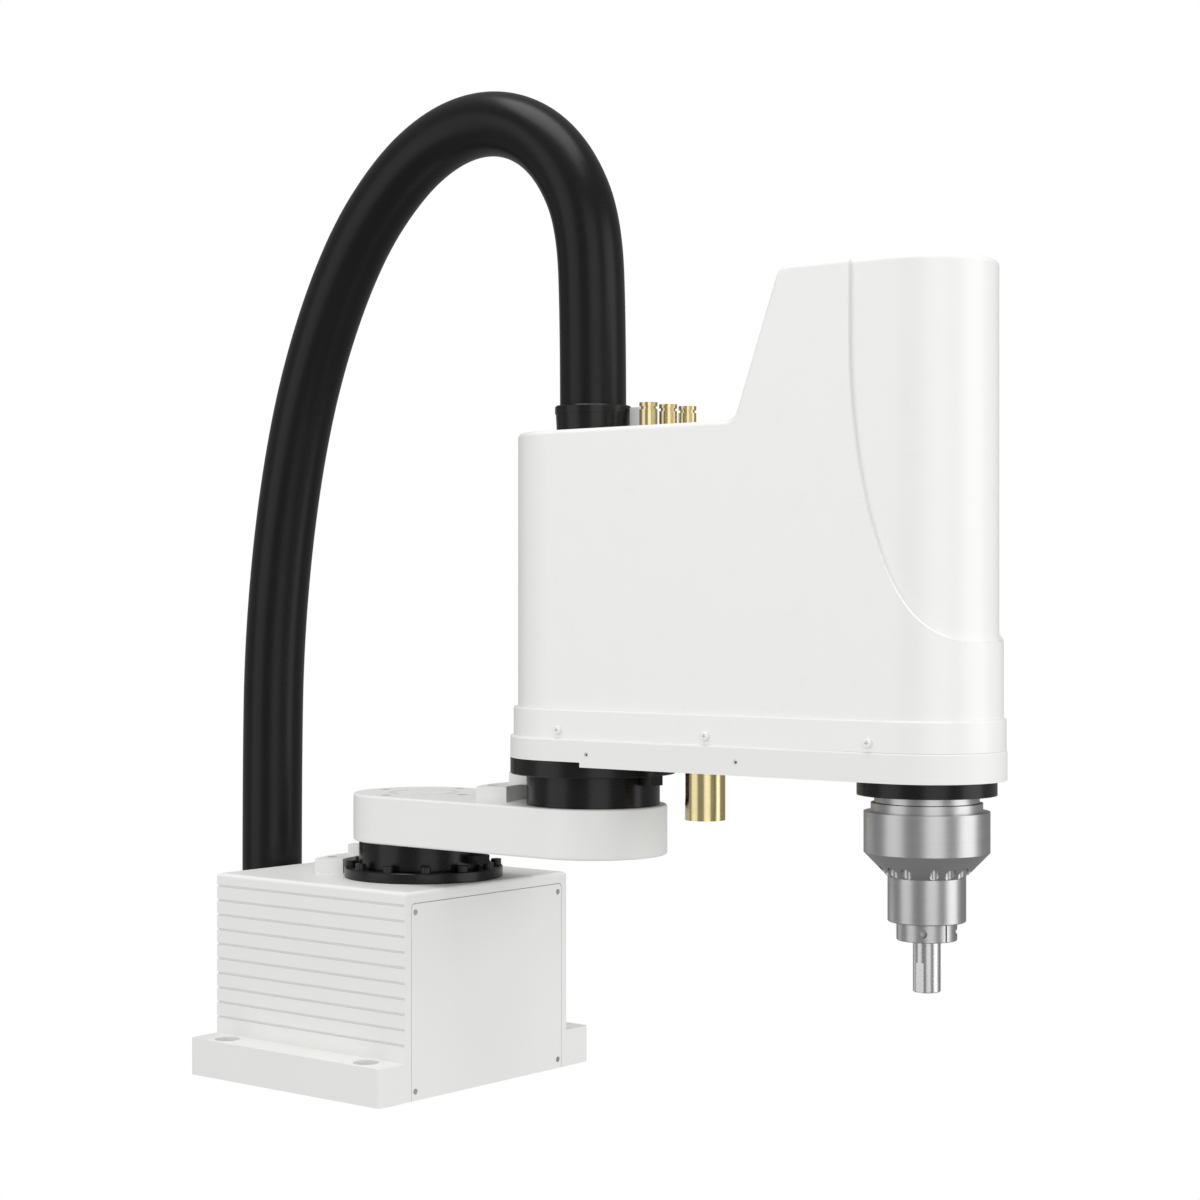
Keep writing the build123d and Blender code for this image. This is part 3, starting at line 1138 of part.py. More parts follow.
# Flanged brass sleeve through the casting's floor, slotted on one side below it.
slot_turn = radians(SLEEVE_SLOT_ANGLE)
SLEEVE_AXIS = Plane(origin=(SLEEVE_X, 0, 0))
with BuildPart() as brass_sleeve:
    with BuildSketch(SLEEVE_AXIS.offset(SLEEVE_BOTTOM_Z)):
        Circle(SLEEVE_R)
    extrude(amount=CASTING_FLOOR_Z - SLEEVE_BOTTOM_Z)
    with BuildSketch(SLEEVE_AXIS.offset(CASTING_FLOOR_Z)):
        Circle(SLEEVE_FLANGE_R)
    extrude(amount=SLEEVE_FLANGE)
    with BuildSketch(SLEEVE_AXIS.offset(SLEEVE_BOTTOM_Z)):
        Circle(SLEEVE_BORE_R)
    extrude(amount=CASTING_FLOOR_Z + SLEEVE_FLANGE - SLEEVE_BOTTOM_Z, mode=Mode.SUBTRACT)
    slot_round_z = SLEEVE_SLOT_BOTTOM_Z + SLEEVE_SLOT_WIDTH / 2
    slot_plane = Plane(
        origin=(SLEEVE_X, 0, slot_round_z),
        x_dir=(-sin(slot_turn), cos(slot_turn), 0),
        z_dir=(cos(slot_turn), sin(slot_turn), 0),
    )
    with BuildSketch(slot_plane):
        Circle(SLEEVE_SLOT_WIDTH / 2)
        Rectangle(SLEEVE_SLOT_WIDTH, CASTING_BOTTOM_Z - slot_round_z, align=(Align.CENTER, Align.MIN))
    extrude(amount=SLEEVE_FLANGE_R, mode=Mode.SUBTRACT)
keep(brass_sleeve, "brass_sleeve")

# Black ring and flanged housing under the tool end, with the two bearings of the spline nut.
with BuildPart() as j3_ring:
    with BuildSketch(TOOL_AXIS.offset(J3_RING_Z)):
        Circle(J3_RING_R)
        Circle(HOUSING_TUBE_R + SCREW_PLAY, mode=Mode.SUBTRACT)
    extrude(amount=CASTING_BOTTOM_Z - J3_RING_Z)
keep(j3_ring, "j3_ring")

with BuildPart() as spline_housing:
    with BuildSketch(TOOL_AXIS.offset(HOUSING_Z)):
        Circle(HOUSING_R)
    extrude(amount=J3_RING_Z - HOUSING_Z)
    with BuildSketch(TOOL_AXIS.offset(J3_RING_Z)):
        Circle(HOUSING_TUBE_R)
    extrude(amount=HOUSING_TOP_Z - J3_RING_Z)
    with BuildSketch(TOOL_AXIS.offset(HOUSING_Z)):
        Circle(HOUSING_BORE_R)
    extrude(amount=HOUSING_TOP_Z - HOUSING_Z, mode=Mode.SUBTRACT)
keep(spline_housing, "spline_housing")

with BuildPart() as spline_bearings:
    for z in BELL_BEARING_Z:
        with BuildSketch(TOOL_AXIS.offset(z)):
            Circle(HOUSING_BORE_R - SCREW_PLAY)
            Circle(BELL_TUBE_R + RUNNING, mode=Mode.SUBTRACT)
        extrude(amount=BELL_BEARING_WIDTH)
keep(spline_bearings, "spline_bearings")


# Spline nut: the bell under the arm, its lip ring, its screws from below and its drive pulley.
def bell_screw_spots(radius):
    """A circle of this radius at each of the bell's screws, five to a group."""
    reach = (BELL_SCREWS_IN_GROUP - 1) * BELL_SCREW_STEP
    for group in range(BELL_SCREW_GROUPS):
        start = BELL_SCREW_TURN - reach / 2 + group * 360 / BELL_SCREW_GROUPS
        with PolarLocations(
            BELL_SCREW_R, BELL_SCREWS_IN_GROUP, start_angle=start, angular_range=reach, endpoint=True
        ):
            Circle(radius)


BELL_SCREW_TOP_Z = BELL_COUNTERBORE_TOP_Z + BELL_SCREW_LENGTH
BELL_HEAD_BOTTOM_Z = BELL_COUNTERBORE_TOP_Z - 4.0
with BuildPart() as spline_bell:
    with BuildSketch(Plane(origin=(TOOL_X, 0, 0), x_dir=(1, 0, 0), z_dir=(0, -1, 0))):
        with BuildLine():
            Polyline(
                (SHAFT_R + RUNNING, BELL_BOTTOM_Z),
                (BELL_NECK_R - 0.5, BELL_BOTTOM_Z),
                (BELL_NECK_R, BELL_BOTTOM_Z + 0.5),
                (BELL_NECK_R, BELL_CONE_BOTTOM_Z),
                (BELL_R, BELL_CONE_TOP_Z),
                (BELL_R, BELL_TOP_Z),
                (BELL_TUBE_R, BELL_TOP_Z),
                (BELL_TUBE_R, BELL_TUBE_TOP_Z),
                (BELL_INNER_R, BELL_TUBE_TOP_Z),
                (BELL_INNER_R, BELL_BORE_TOP_Z),
                (SHAFT_R + RUNNING, BELL_BORE_TOP_Z),
                close=True,
            )
        make_face()
    revolve(axis=Axis((TOOL_X, 0, 0), (0, 0, 1)))
    with BuildSketch(TOOL_AXIS.offset(BELL_CONE_BOTTOM_Z)):
        bell_screw_spots(BELL_COUNTERBORE_R)
    extrude(amount=BELL_COUNTERBORE_TOP_Z - BELL_CONE_BOTTOM_Z, mode=Mode.SUBTRACT)
    with BuildSketch(TOOL_AXIS.offset(BELL_COUNTERBORE_TOP_Z)):
        bell_screw_spots(CLAMP_SCREW_R + SCREW_PLAY)
    extrude(amount=BELL_SCREW_TOP_Z - BELL_COUNTERBORE_TOP_Z, mode=Mode.SUBTRACT)
keep(spline_bell, "spline_bell")

with BuildPart() as bell_screws:
    with BuildSketch(TOOL_AXIS.offset(BELL_HEAD_BOTTOM_Z)):
        bell_screw_spots(CLAMP_HEAD_R)
        bell_screw_spots(CLAMP_HEAD_R * 0.45)
    extrude(amount=BELL_COUNTERBORE_TOP_Z - BELL_HEAD_BOTTOM_Z)
    with BuildSketch(TOOL_AXIS.offset(BELL_COUNTERBORE_TOP_Z)):
        bell_screw_spots(CLAMP_SCREW_R)
    extrude(amount=BELL_SCREW_TOP_Z - BELL_COUNTERBORE_TOP_Z)
keep(bell_screws, "bell_screws")

with BuildPart() as bell_lip_ring:
    with BuildSketch(TOOL_AXIS.offset(BELL_TOP_Z)):
        Circle(LIP_RING_R)
        Circle(BELL_TUBE_R + SCREW_PLAY, mode=Mode.SUBTRACT)
    extrude(amount=HOUSING_Z - FACE_GAP - BELL_TOP_Z)
keep(bell_lip_ring, "bell_lip_ring")

with BuildPart() as spline_pulley:
    with Locations((TOOL_X, 0, SPIN_BELT_Z)):
        toothed_pulley(PULLEY_R, PULLEY_TEETH, PULLEY_WIDTH)
        Cylinder(
            BELL_TUBE_R + SCREW_PLAY,
            PULLEY_WIDTH,
            align=(Align.CENTER, Align.CENTER, Align.MIN),
            mode=Mode.SUBTRACT,
        )
keep(spline_pulley, "spline_pulley")

# Tool shaft: flat at its tip, a neck under the stop collar, three spline grooves along the rest.
COLLAR_BOTTOM_Z = BELL_BOTTOM_Z - FACE_GAP - STOP_COLLAR_HEIGHT
COLLAR_MID_Z = COLLAR_BOTTOM_Z + STOP_COLLAR_HEIGHT / 2
flat_turn = radians(SHAFT_FLAT_ANGLE)
with BuildPart() as tool_shaft:
    with BuildSketch(TOOL_AXIS.offset(SHAFT_TIP_Z)):
        Circle(SHAFT_R)
    extrude(amount=SHAFT_TOP_Z - SHAFT_TIP_Z)
    chamfer(tool_shaft.edges(), SHAFT_CHAMFER)
    flat_plane = Plane(
        origin=(
            TOOL_X + (SHAFT_R - SHAFT_FLAT_DEPTH) * cos(flat_turn),
            (SHAFT_R - SHAFT_FLAT_DEPTH) * sin(flat_turn),
            SHAFT_TIP_Z,
        ),
        x_dir=(-sin(flat_turn), cos(flat_turn), 0),
        z_dir=(cos(flat_turn), sin(flat_turn), 0),
    )
    with BuildSketch(flat_plane):
        Rectangle(2 * SHAFT_R, SHAFT_FLAT_TOP_Z - SHAFT_TIP_Z, align=(Align.CENTER, Align.MIN))
    extrude(amount=SHAFT_R, mode=Mode.SUBTRACT)
    with BuildSketch(TOOL_AXIS.offset(COLLAR_BOTTOM_Z)):
        Circle(2 * SHAFT_R)
        Circle(SHAFT_NECK_R, mode=Mode.SUBTRACT)
    extrude(amount=SHAFT_NECK_WIDTH, mode=Mode.SUBTRACT)
    with BuildSketch(TOOL_AXIS.offset(SPLINE_BOTTOM_Z)):
        with PolarLocations(SHAFT_R, SPLINE_COUNT):
            Rectangle(2 * SPLINE_DEPTH, SPLINE_WIDTH)
    extrude(amount=SHAFT_TOP_Z - SPLINE_END_GAP - SPLINE_BOTTOM_Z, mode=Mode.SUBTRACT)
keep(tool_shaft, "tool_shaft")

# Lower stop collar: split, clamped by one cross screw, with a blind hole in its side.
slit_turn = radians(STOP_COLLAR_SLIT_ANGLE)
hole_turn = radians(STOP_COLLAR_HOLE_ANGLE)
CLAMP_SEAT = 6.0
CLAMP_PLANE = Plane(
    origin=(
        TOOL_X + CLAMP_SCREW_OFFSET * cos(slit_turn) - CLAMP_SEAT * sin(slit_turn),
        CLAMP_SCREW_OFFSET * sin(slit_turn) + CLAMP_SEAT * cos(slit_turn),
        COLLAR_MID_Z,
    ),
    x_dir=(0, 0, 1),
    z_dir=(-sin(slit_turn), cos(slit_turn), 0),
)
with BuildPart() as lower_stop_collar:
    with BuildSketch(TOOL_AXIS.offset(COLLAR_BOTTOM_Z)):
        Circle(STOP_COLLAR_R)
    extrude(amount=STOP_COLLAR_HEIGHT)
    chamfer(lower_stop_collar.edges().filter_by(GeomType.CIRCLE), 0.4)
    with BuildSketch(TOOL_AXIS.offset(COLLAR_BOTTOM_Z)):
        Circle(SHAFT_R)
    extrude(amount=STOP_COLLAR_HEIGHT, mode=Mode.SUBTRACT)
    with BuildSketch(TOOL_AXIS.offset(COLLAR_BOTTOM_Z)):
        with Locations((STOP_COLLAR_R * cos(slit_turn), STOP_COLLAR_R * sin(slit_turn))):
            Rectangle(2 * STOP_COLLAR_R, STOP_COLLAR_SLIT, rotation=STOP_COLLAR_SLIT_ANGLE)
    extrude(amount=STOP_COLLAR_HEIGHT, mode=Mode.SUBTRACT)
    hole_plane = Plane(
        origin=(TOOL_X + STOP_COLLAR_R * cos(hole_turn), STOP_COLLAR_R * sin(hole_turn), COLLAR_MID_Z),
        x_dir=(0, 0, 1),
        z_dir=(cos(hole_turn), sin(hole_turn), 0),
    )
    with BuildSketch(hole_plane):
        Circle(STOP_COLLAR_HOLE_R)
    extrude(amount=-6.0, mode=Mode.SUBTRACT)
    with BuildSketch(CLAMP_PLANE):
        Circle(CLAMP_HEAD_R + 4 * SCREW_PLAY)
    extrude(amount=STOP_COLLAR_R, mode=Mode.SUBTRACT)
    with BuildSketch(CLAMP_PLANE):
        Circle(CLAMP_SCREW_R + SCREW_PLAY)
    extrude(amount=-2.5 * CLAMP_SEAT, mode=Mode.SUBTRACT)
keep(lower_stop_collar, "lower_stop_collar")

with BuildPart() as collar_clamp_screw:
    with Locations(CLAMP_PLANE):
        add(cap_screw(CLAMP_HEAD_R, 2 * CLAMP_SCREW_R, CLAMP_SCREW_R, 2 * CLAMP_SEAT))
keep(collar_clamp_screw, "collar_clamp_screw")

with BuildPart() as upper_stop_collar:
    with BuildSketch(TOOL_AXIS.offset(SHAFT_TOP_Z - TOP_COLLAR_GAP - TOP_COLLAR_HEIGHT)):
        Circle(TOP_COLLAR_R)
        Circle(SHAFT_R, mode=Mode.SUBTRACT)
    extrude(amount=TOP_COLLAR_HEIGHT)
    chamfer(upper_stop_collar.faces().sort_by(Axis.Z)[-1].edges().sort_by(SortBy.LENGTH)[-1], 0.5)
keep(upper_stop_collar, "upper_stop_collar")

# Ball-screw nut, its pulley, its bearing and the bridge plate that carries the bearing.
with BuildPart() as screw_nut:
    with BuildSketch(TOOL_AXIS.offset(LIFT_BELT_Z)):
        Circle(NUT_R)
        Circle(SHAFT_R + RUNNING, mode=Mode.SUBTRACT)
    extrude(amount=NUT_TOP_Z - LIFT_BELT_Z)
keep(screw_nut, "screw_nut")

with BuildPart() as nut_pulley:
    with Locations((TOOL_X, 0, LIFT_BELT_Z)):
        toothed_pulley(PULLEY_R, PULLEY_TEETH, PULLEY_WIDTH)
        Cylinder(
            NUT_R + SCREW_PLAY,
            PULLEY_WIDTH,
            align=(Align.CENTER, Align.CENTER, Align.MIN),
            mode=Mode.SUBTRACT,
        )
keep(nut_pulley, "nut_pulley")

NUT_BEARING_Z = NUT_PLATE_Z + NUT_PLATE_THICKNESS - NUT_BEARING_WIDTH
with BuildPart() as nut_bearing:
    with BuildSketch(TOOL_AXIS.offset(NUT_BEARING_Z)):
        Circle(NUT_BEARING_R)
        Circle(NUT_R + RUNNING, mode=Mode.SUBTRACT)
    extrude(amount=NUT_BEARING_WIDTH)
keep(nut_bearing, "nut_bearing")

with BuildPart() as nut_bracket:
    with BuildSketch(TOOL_AXIS.offset(NUT_PLATE_Z)):
        Circle(NUT_BEARING_R + 7.0)
        with Locations(*NUT_POSTS):
            Circle(PLATE_POST_R + 2.0)
        make_hull()
        Circle(NUT_BEARING_R - 3.0, mode=Mode.SUBTRACT)
    extrude(amount=NUT_PLATE_THICKNESS)
    with BuildSketch(TOOL_AXIS.offset(NUT_BEARING_Z)):
        Circle(NUT_BEARING_R + SCREW_PLAY)
    extrude(amount=NUT_BEARING_WIDTH, mode=Mode.SUBTRACT)
    with BuildSketch(TOOL_AXIS.offset(CASTING_FLOOR_Z)):
        with Locations(*NUT_POSTS):
            Circle(PLATE_POST_R)
    extrude(amount=NUT_PLATE_Z - CASTING_FLOOR_Z)
keep(nut_bracket, "nut_bracket")

# Motor plate on four posts, the two motors on it, their pulleys under it and the two belts.
MOTOR_PLATE_TOP_Z = MOTOR_PLATE_Z + MOTOR_PLATE_THICKNESS
PLATE_POST_SPOTS = [
    (x, side * PLATE_POST_Y)
    for x in (MOTOR_PLATE_REAR_X + 6.0, MOTOR_PLATE_FRONT_X - 6.0)
    for side in (1, -1)
]
MOTOR_SPOTS = ((LIFT_MOTOR_X, 0), (SPIN_MOTOR_X, 0))
with BuildPart() as motor_plate:
    with BuildSketch(Plane.XY.offset(MOTOR_PLATE_Z)):
        with Locations(((MOTOR_PLATE_REAR_X + MOTOR_PLATE_FRONT_X) / 2, 0)):
            RectangleRounded(MOTOR_PLATE_FRONT_X - MOTOR_PLATE_REAR_X, 2 * MOTOR_PLATE_HALF_WIDTH, 3.0)
        with Locations(*MOTOR_SPOTS):
            Circle(2 * SMALL_SHAFT_R, mode=Mode.SUBTRACT)
    extrude(amount=MOTOR_PLATE_THICKNESS)
    with BuildSketch(Plane.XY.offset(CASTING_FLOOR_Z)):
        with Locations(*PLATE_POST_SPOTS):
            Circle(PLATE_POST_R)
    extrude(amount=MOTOR_PLATE_Z - CASTING_FLOOR_Z)
keep(motor_plate, "motor_plate")

with BuildPart() as lift_motor:
    with Locations((LIFT_MOTOR_X, 0, MOTOR_PLATE_TOP_Z)):
        add(servo_motor(SMALL_MOTOR_SIZE, LIFT_MOTOR_HEIGHT, SMALL_SHAFT_R, MOTOR_PLATE_TOP_Z - LIFT_BELT_Z))
keep(lift_motor, "lift_motor")

with BuildPart() as spin_motor:
    with Locations((SPIN_MOTOR_X, 0, MOTOR_PLATE_TOP_Z)):
        add(servo_motor(SMALL_MOTOR_SIZE, SPIN_MOTOR_HEIGHT, SMALL_SHAFT_R, MOTOR_PLATE_TOP_Z - SPIN_BELT_Z))
keep(spin_motor, "spin_motor")


def motor_pulley(x, z):
    """A motor's small pulley with a running bore."""
    with BuildPart() as pulley:
        with Locations((x, 0, z)):
            toothed_pulley(MOTOR_PULLEY_R, MOTOR_PULLEY_TEETH, PULLEY_WIDTH)
            Cylinder(
                SMALL_SHAFT_R + RUNNING,
                PULLEY_WIDTH,
                align=(Align.CENTER, Align.CENTER, Align.MIN),
                mode=Mode.SUBTRACT,
            )
    return pulley


def belt_outline(motor_x, margin):
    """The belt's plan, this far outside the pulleys."""
    with Locations((motor_x, 0)):
        Circle(MOTOR_PULLEY_R + margin)
    with Locations((TOOL_X, 0)):
        Circle(PULLEY_R + margin)
    make_hull()


def belt(motor_x, z):
    """A flat-backed belt round a motor pulley and a large pulley."""
    bottom = Plane.XY.offset(z + (PULLEY_WIDTH - BELT_WIDTH) / 2)
    with BuildPart() as loop:
        with BuildSketch(bottom):
            belt_outline(motor_x, BELT_GAP + BELT_THICKNESS)
        extrude(amount=BELT_WIDTH)
        with BuildSketch(bottom):
            belt_outline(motor_x, BELT_GAP)
        extrude(amount=BELT_WIDTH, mode=Mode.SUBTRACT)
    return loop


keep(motor_pulley(LIFT_MOTOR_X, LIFT_BELT_Z), "lift_motor_pulley")
keep(motor_pulley(SPIN_MOTOR_X, SPIN_BELT_Z), "spin_motor_pulley")
keep(belt(LIFT_MOTOR_X, LIFT_BELT_Z), "lift_belt")
keep(belt(SPIN_MOTOR_X, SPIN_BELT_Z), "spin_belt")

os.makedirs("parts", exist_ok=True)
for part in PARTS:
    export_step(part, f"parts/{part.label}.step")
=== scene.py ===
"""A table-top four-axis robot arm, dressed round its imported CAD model.

Everything is in metres in the model's frame.
"""

from math import radians

import bpy
import numpy as np
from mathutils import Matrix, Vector


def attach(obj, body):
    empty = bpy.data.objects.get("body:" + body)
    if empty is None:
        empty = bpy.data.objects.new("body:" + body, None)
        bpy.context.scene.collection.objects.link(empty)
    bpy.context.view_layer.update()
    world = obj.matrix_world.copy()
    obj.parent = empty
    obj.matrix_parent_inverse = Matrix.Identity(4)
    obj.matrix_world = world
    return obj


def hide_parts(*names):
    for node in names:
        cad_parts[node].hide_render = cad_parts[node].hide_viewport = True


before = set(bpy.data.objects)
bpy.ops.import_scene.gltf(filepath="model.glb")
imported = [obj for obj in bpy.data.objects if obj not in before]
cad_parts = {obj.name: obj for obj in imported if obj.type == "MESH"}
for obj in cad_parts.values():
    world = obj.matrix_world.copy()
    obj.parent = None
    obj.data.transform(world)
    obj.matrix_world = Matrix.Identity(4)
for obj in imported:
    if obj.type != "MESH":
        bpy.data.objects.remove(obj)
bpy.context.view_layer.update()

# The room: a white void with no floor, as in a catalogue picture.
# The lens and its place put the arm's corners where the photograph has them.
room = bpy.context.scene
room.view_settings.view_transform = "Standard"

LENS_MM = 72.43
SENSOR_MM = 36.0
CAMERA_PLACE = (1.1381, -1.2016, 0.3232)
CAMERA_TILT = 90.0
CAMERA_HEADING = 39.269
lens = bpy.data.cameras.new("photo_camera")
lens.lens = LENS_MM
lens.sensor_width = SENSOR_MM
lens.clip_start = 0.05
lens.clip_end = 20.0
camera = bpy.data.objects.new("photo_camera", lens)
camera.location = CAMERA_PLACE
camera.rotation_euler = (radians(CAMERA_TILT), 0.0, radians(CAMERA_HEADING))
room.collection.objects.link(camera)
room.camera = camera

ROOM_AMBIENT = 0.62
ROOM_IN_METAL = 0.30
sky = bpy.data.worlds.new("white_void")
sky.use_nodes = True
room.world = sky
sky_tree = sky.node_tree
sky_glow = sky_tree.nodes["Background"]
sky_glow.inputs["Color"].default_value = (1.0, 1.0, 1.0, 1.0)


class Field:
    """A socket of a shader tree. Arithmetic on it adds Math nodes, and node() adds any other node."""

    def __init__(self, tree, socket):
        self.tree = tree
        self.socket = socket

    def feed(self, slot, value):
        """Links a field to the input slot, or sets a plain value there."""
        if isinstance(value, Field):
            self.tree.links.new(value.socket, slot)
        else:
            slot.default_value = value

    def math(self, operation, *terms):
        node = self.tree.nodes.new("ShaderNodeMath")
        node.operation = operation
        for slot, term in zip(node.inputs, terms):
            self.feed(slot, term)
        return Field(self.tree, node.outputs[0])

    def node(self, kind, settings, inputs, output=0):
        """Adds a node of this type: its settings first, then its inputs by name or number."""
        node = self.tree.nodes.new(kind)
        for name, value in settings.items():
            setattr(node, name, value)
        for name, value in inputs.items():
            self.feed(node.inputs[name], value)
        return Field(self.tree, node.outputs[output])

    def __add__(self, other):
        return self.math("ADD", self, other)

    __radd__ = __add__

    def __rsub__(self, other):
        return self.math("SUBTRACT", other, self)

    def __mul__(self, other):
        return self.math("MULTIPLY", self, other)

    __rmul__ = __mul__


sky_start = Field(sky_tree, sky_glow.outputs[0])
seen = sky_start.node("ShaderNodeLightPath", {}, {}, "Is Camera Ray")
mirrored = sky_start.node("ShaderNodeLightPath", {}, {}, "Is Glossy Ray")
through = sky_start.node("ShaderNodeLightPath", {}, {}, "Is Transmission Ray")
plain = 1.0 - seen
sky_start.feed(
    sky_glow.inputs["Strength"],
    seen + plain * (mirrored * ROOM_IN_METAL + through + (1.0 - mirrored) * (1.0 - through) * ROOM_AMBIENT),
)

# Four soft boxes: three tall ones round the front, which the turned metal shows as bright bands,
# and one overhead. Each has its place, the point that it faces, its width and height, and its watts.
SOFT_BOXES = (
    ("soft_left", (-0.80, -2.00, 0.60), (0.20, 0.0, 0.30), (1.6, 2.2), 11.0),
    ("soft_front", (1.95, -1.50, 0.70), (0.25, 0.0, 0.30), (1.5, 2.2), 13.0),
    ("soft_right", (2.45, 0.80, 0.55), (0.25, 0.0, 0.30), (1.6, 2.2), 19.0),
    ("soft_top", (0.20, -0.20, 2.30), (0.15, 0.0, 0.20), (1.8, 1.2), 25.0),
)
for name, place, aim, (width, height), power in SOFT_BOXES:
    lamp = bpy.data.lights.new(name, "AREA")
    lamp.shape = "RECTANGLE"
    lamp.size = width
    lamp.size_y = height
    lamp.energy = power
    box = bpy.data.objects.new(name, lamp)
    box.location = place
    box.rotation_euler = (Vector(aim) - Vector(place)).to_track_quat("-Z", "Y").to_euler()
    room.collection.objects.link(box)


# Cable hose: one smooth black rubber tube for the motor and signal cables.
# It stands up from the duct behind the base, arches over and comes straight down on the elbow's axis.
# It is fixed to the base and keeps its rest shape, so it doesn't follow the first arm.
HOSE_ROUTE = (
    (-0.1505, 0.1080),
    (-0.1505, 0.2011),
    (-0.1479, 0.2989),
    (-0.1334, 0.4008),
    (-0.1085, 0.4893),
    (-0.0681, 0.5679),
    (-0.0232, 0.6148),
    (0.0194, 0.6380),
    (0.0612, 0.6431),
    (0.0990, 0.6313),
    (0.1279, 0.6053),
    (0.1469, 0.5660),
    (0.1500, 0.4990),
    (0.1500, 0.4335),
)
HOSE_RADIUS = 0.02135
HOSE_SIDES = 96
LINE_STEPS = 24


def smooth_line(name, points):
    """Points along the NURBS curve of order 3 whose control points these are, as rows of x, y, z."""
    curve = bpy.data.curves.new(name, "CURVE")
    curve.dimensions = "3D"
    curve.resolution_u = LINE_STEPS
    spline = curve.splines.new("NURBS")
    spline.points.add(len(points) - 1)
    spline.points.foreach_set("co", np.hstack([points, np.ones((len(points), 1))]).ravel())
    spline.use_endpoint_u = True
    spline.order_u = 3
    holder = bpy.data.objects.new(name, curve)
    line = bpy.data.meshes.new_from_object(holder)
    places = np.empty(3 * len(line.vertices))
    line.vertices.foreach_get("co", places)
    bpy.data.objects.remove(holder)
    bpy.data.curves.remove(curve)
    bpy.data.meshes.remove(line)
    return places.reshape(-1, 3)


def closed_surface(name, grid):
    """A smooth mesh from a grid of points [along, round, xyz], closed round, with a flat face over each end.

    The face at row r and column c joins the points (r, c), (r, c + 1), (r + 1, c + 1) and (r + 1, c),
    where the column after the last is the first again.
    """
    along, around = grid.shape[:2]
    row, column = np.meshgrid(np.arange(along - 1), np.arange(around), indexing="ij")
    beside = (column + 1) % around
    here, above = row * around, (row + 1) * around
    sides = np.stack([here + column, here + beside, above + beside, above + column], axis=-1)
    faces = sides.reshape(-1, 4).tolist()
    faces.append(list(range(around))[::-1])
    faces.append(list(range((along - 1) * around, along * around)))
    mesh = bpy.data.meshes.new(name)
    mesh.from_pydata(grid.reshape(-1, 3).tolist(), [], faces)
    mesh.polygons.foreach_set("use_smooth", [True] * (len(faces) - 2) + [False, False])
    mesh.update()
    piece = bpy.data.objects.new(name, mesh)
    room.collection.objects.link(piece)
    return piece


def tube(name, line, radius, sides):
    """A round tube along a line in the plane y = 0.

    The point at turn t of a ring is the line's point plus radius times (cos t of its normal + sin t of y).
    """
    forward = np.gradient(line, axis=0)
    forward /= np.linalg.norm(forward, axis=1, keepdims=True)
    across = np.array([0.0, 1.0, 0.0])
    upward = np.cross(forward, across)
    turn = np.linspace(0.0, 2.0 * np.pi, sides, endpoint=False)
    ring = np.cos(turn)[None, :, None] * upward[:, None, :] + np.sin(turn)[None, :, None] * across
    return closed_surface(name, line[:, None, :] + radius * ring)


def new_finish(name, color, roughness, metallic=0.0):
    """A material with these constants on its Principled shader, and a field to build on."""
    material = bpy.data.materials.new(name)
    material.use_nodes = True
    shader = material.node_tree.nodes["Principled BSDF"]
    shader.inputs["Base Color"].default_value = (*color, 1.0)
    shader.inputs["Roughness"].default_value = roughness
    shader.inputs["Metallic"].default_value = metallic
    return material, shader, Field(material.node_tree, shader.outputs[0])


def own_place(field):
    """The Object coordinates of the point being shaded."""
    return field.node("ShaderNodeTexCoord", {}, {}, "Object")


def cloud(field, place, scale, detail=3.0, roughness=0.5):
    """Fractal noise of this many cells to the metre."""
    return field.node(
        "ShaderNodeTexNoise", {}, {"Vector": place, "Scale": scale, "Detail": detail, "Roughness": roughness}
    )


def shade_between(field, mask, dark, light):
    """The colour dark where the mask is 0 and light where it is 1."""
    return field.node(
        "ShaderNodeMix",
        {"data_type": "RGBA"},
        {0: mask, 6: (*dark, 1.0), 7: (*light, 1.0)},
        2,
    )


def set_bump(shader, field, height, strength, distance):
    """Feeds the height through a Bump node to the shader's Normal."""
    bump = field.node("ShaderNodeBump", {}, {"Height": height, "Strength": strength, "Distance": distance})
    field.feed(shader.inputs["Normal"], bump)


hose_rubber, shader, start = new_finish("hose_rubber", (0.006, 0.006, 0.006), 0.36)
shader.inputs["Specular IOR Level"].default_value = 0.22
place = own_place(start)
skin = cloud(start, place, 900.0)
haze = cloud(start, place, 14.0)
start.feed(shader.inputs["Roughness"], 0.24 + 0.08 * haze + 0.05 * skin)
tone = shade_between(start, haze, (0.005, 0.005, 0.005), (0.008, 0.008, 0.008))
start.feed(shader.inputs["Base Color"], tone)
set_bump(shader, start, skin, 0.05, 0.0004)

route = np.array([(x, 0.0, z) for x, z in HOSE_ROUTE])
hose_line = smooth_line("hose_route", route)
hose = tube("cable_hose_skin", hose_line, HOSE_RADIUS, HOSE_SIDES)
hose.data.materials.append(hose_rubber)
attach(hose, "base")
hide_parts("cable_hose")


def dress(nodes, material):
    """Gives a finish to CAD nodes by their names."""
    for node in nodes:
        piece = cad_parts[node]
        if not piece.material_slots:
            piece.data.materials.append(material)
        for slot in piece.material_slots:
            slot.material = material


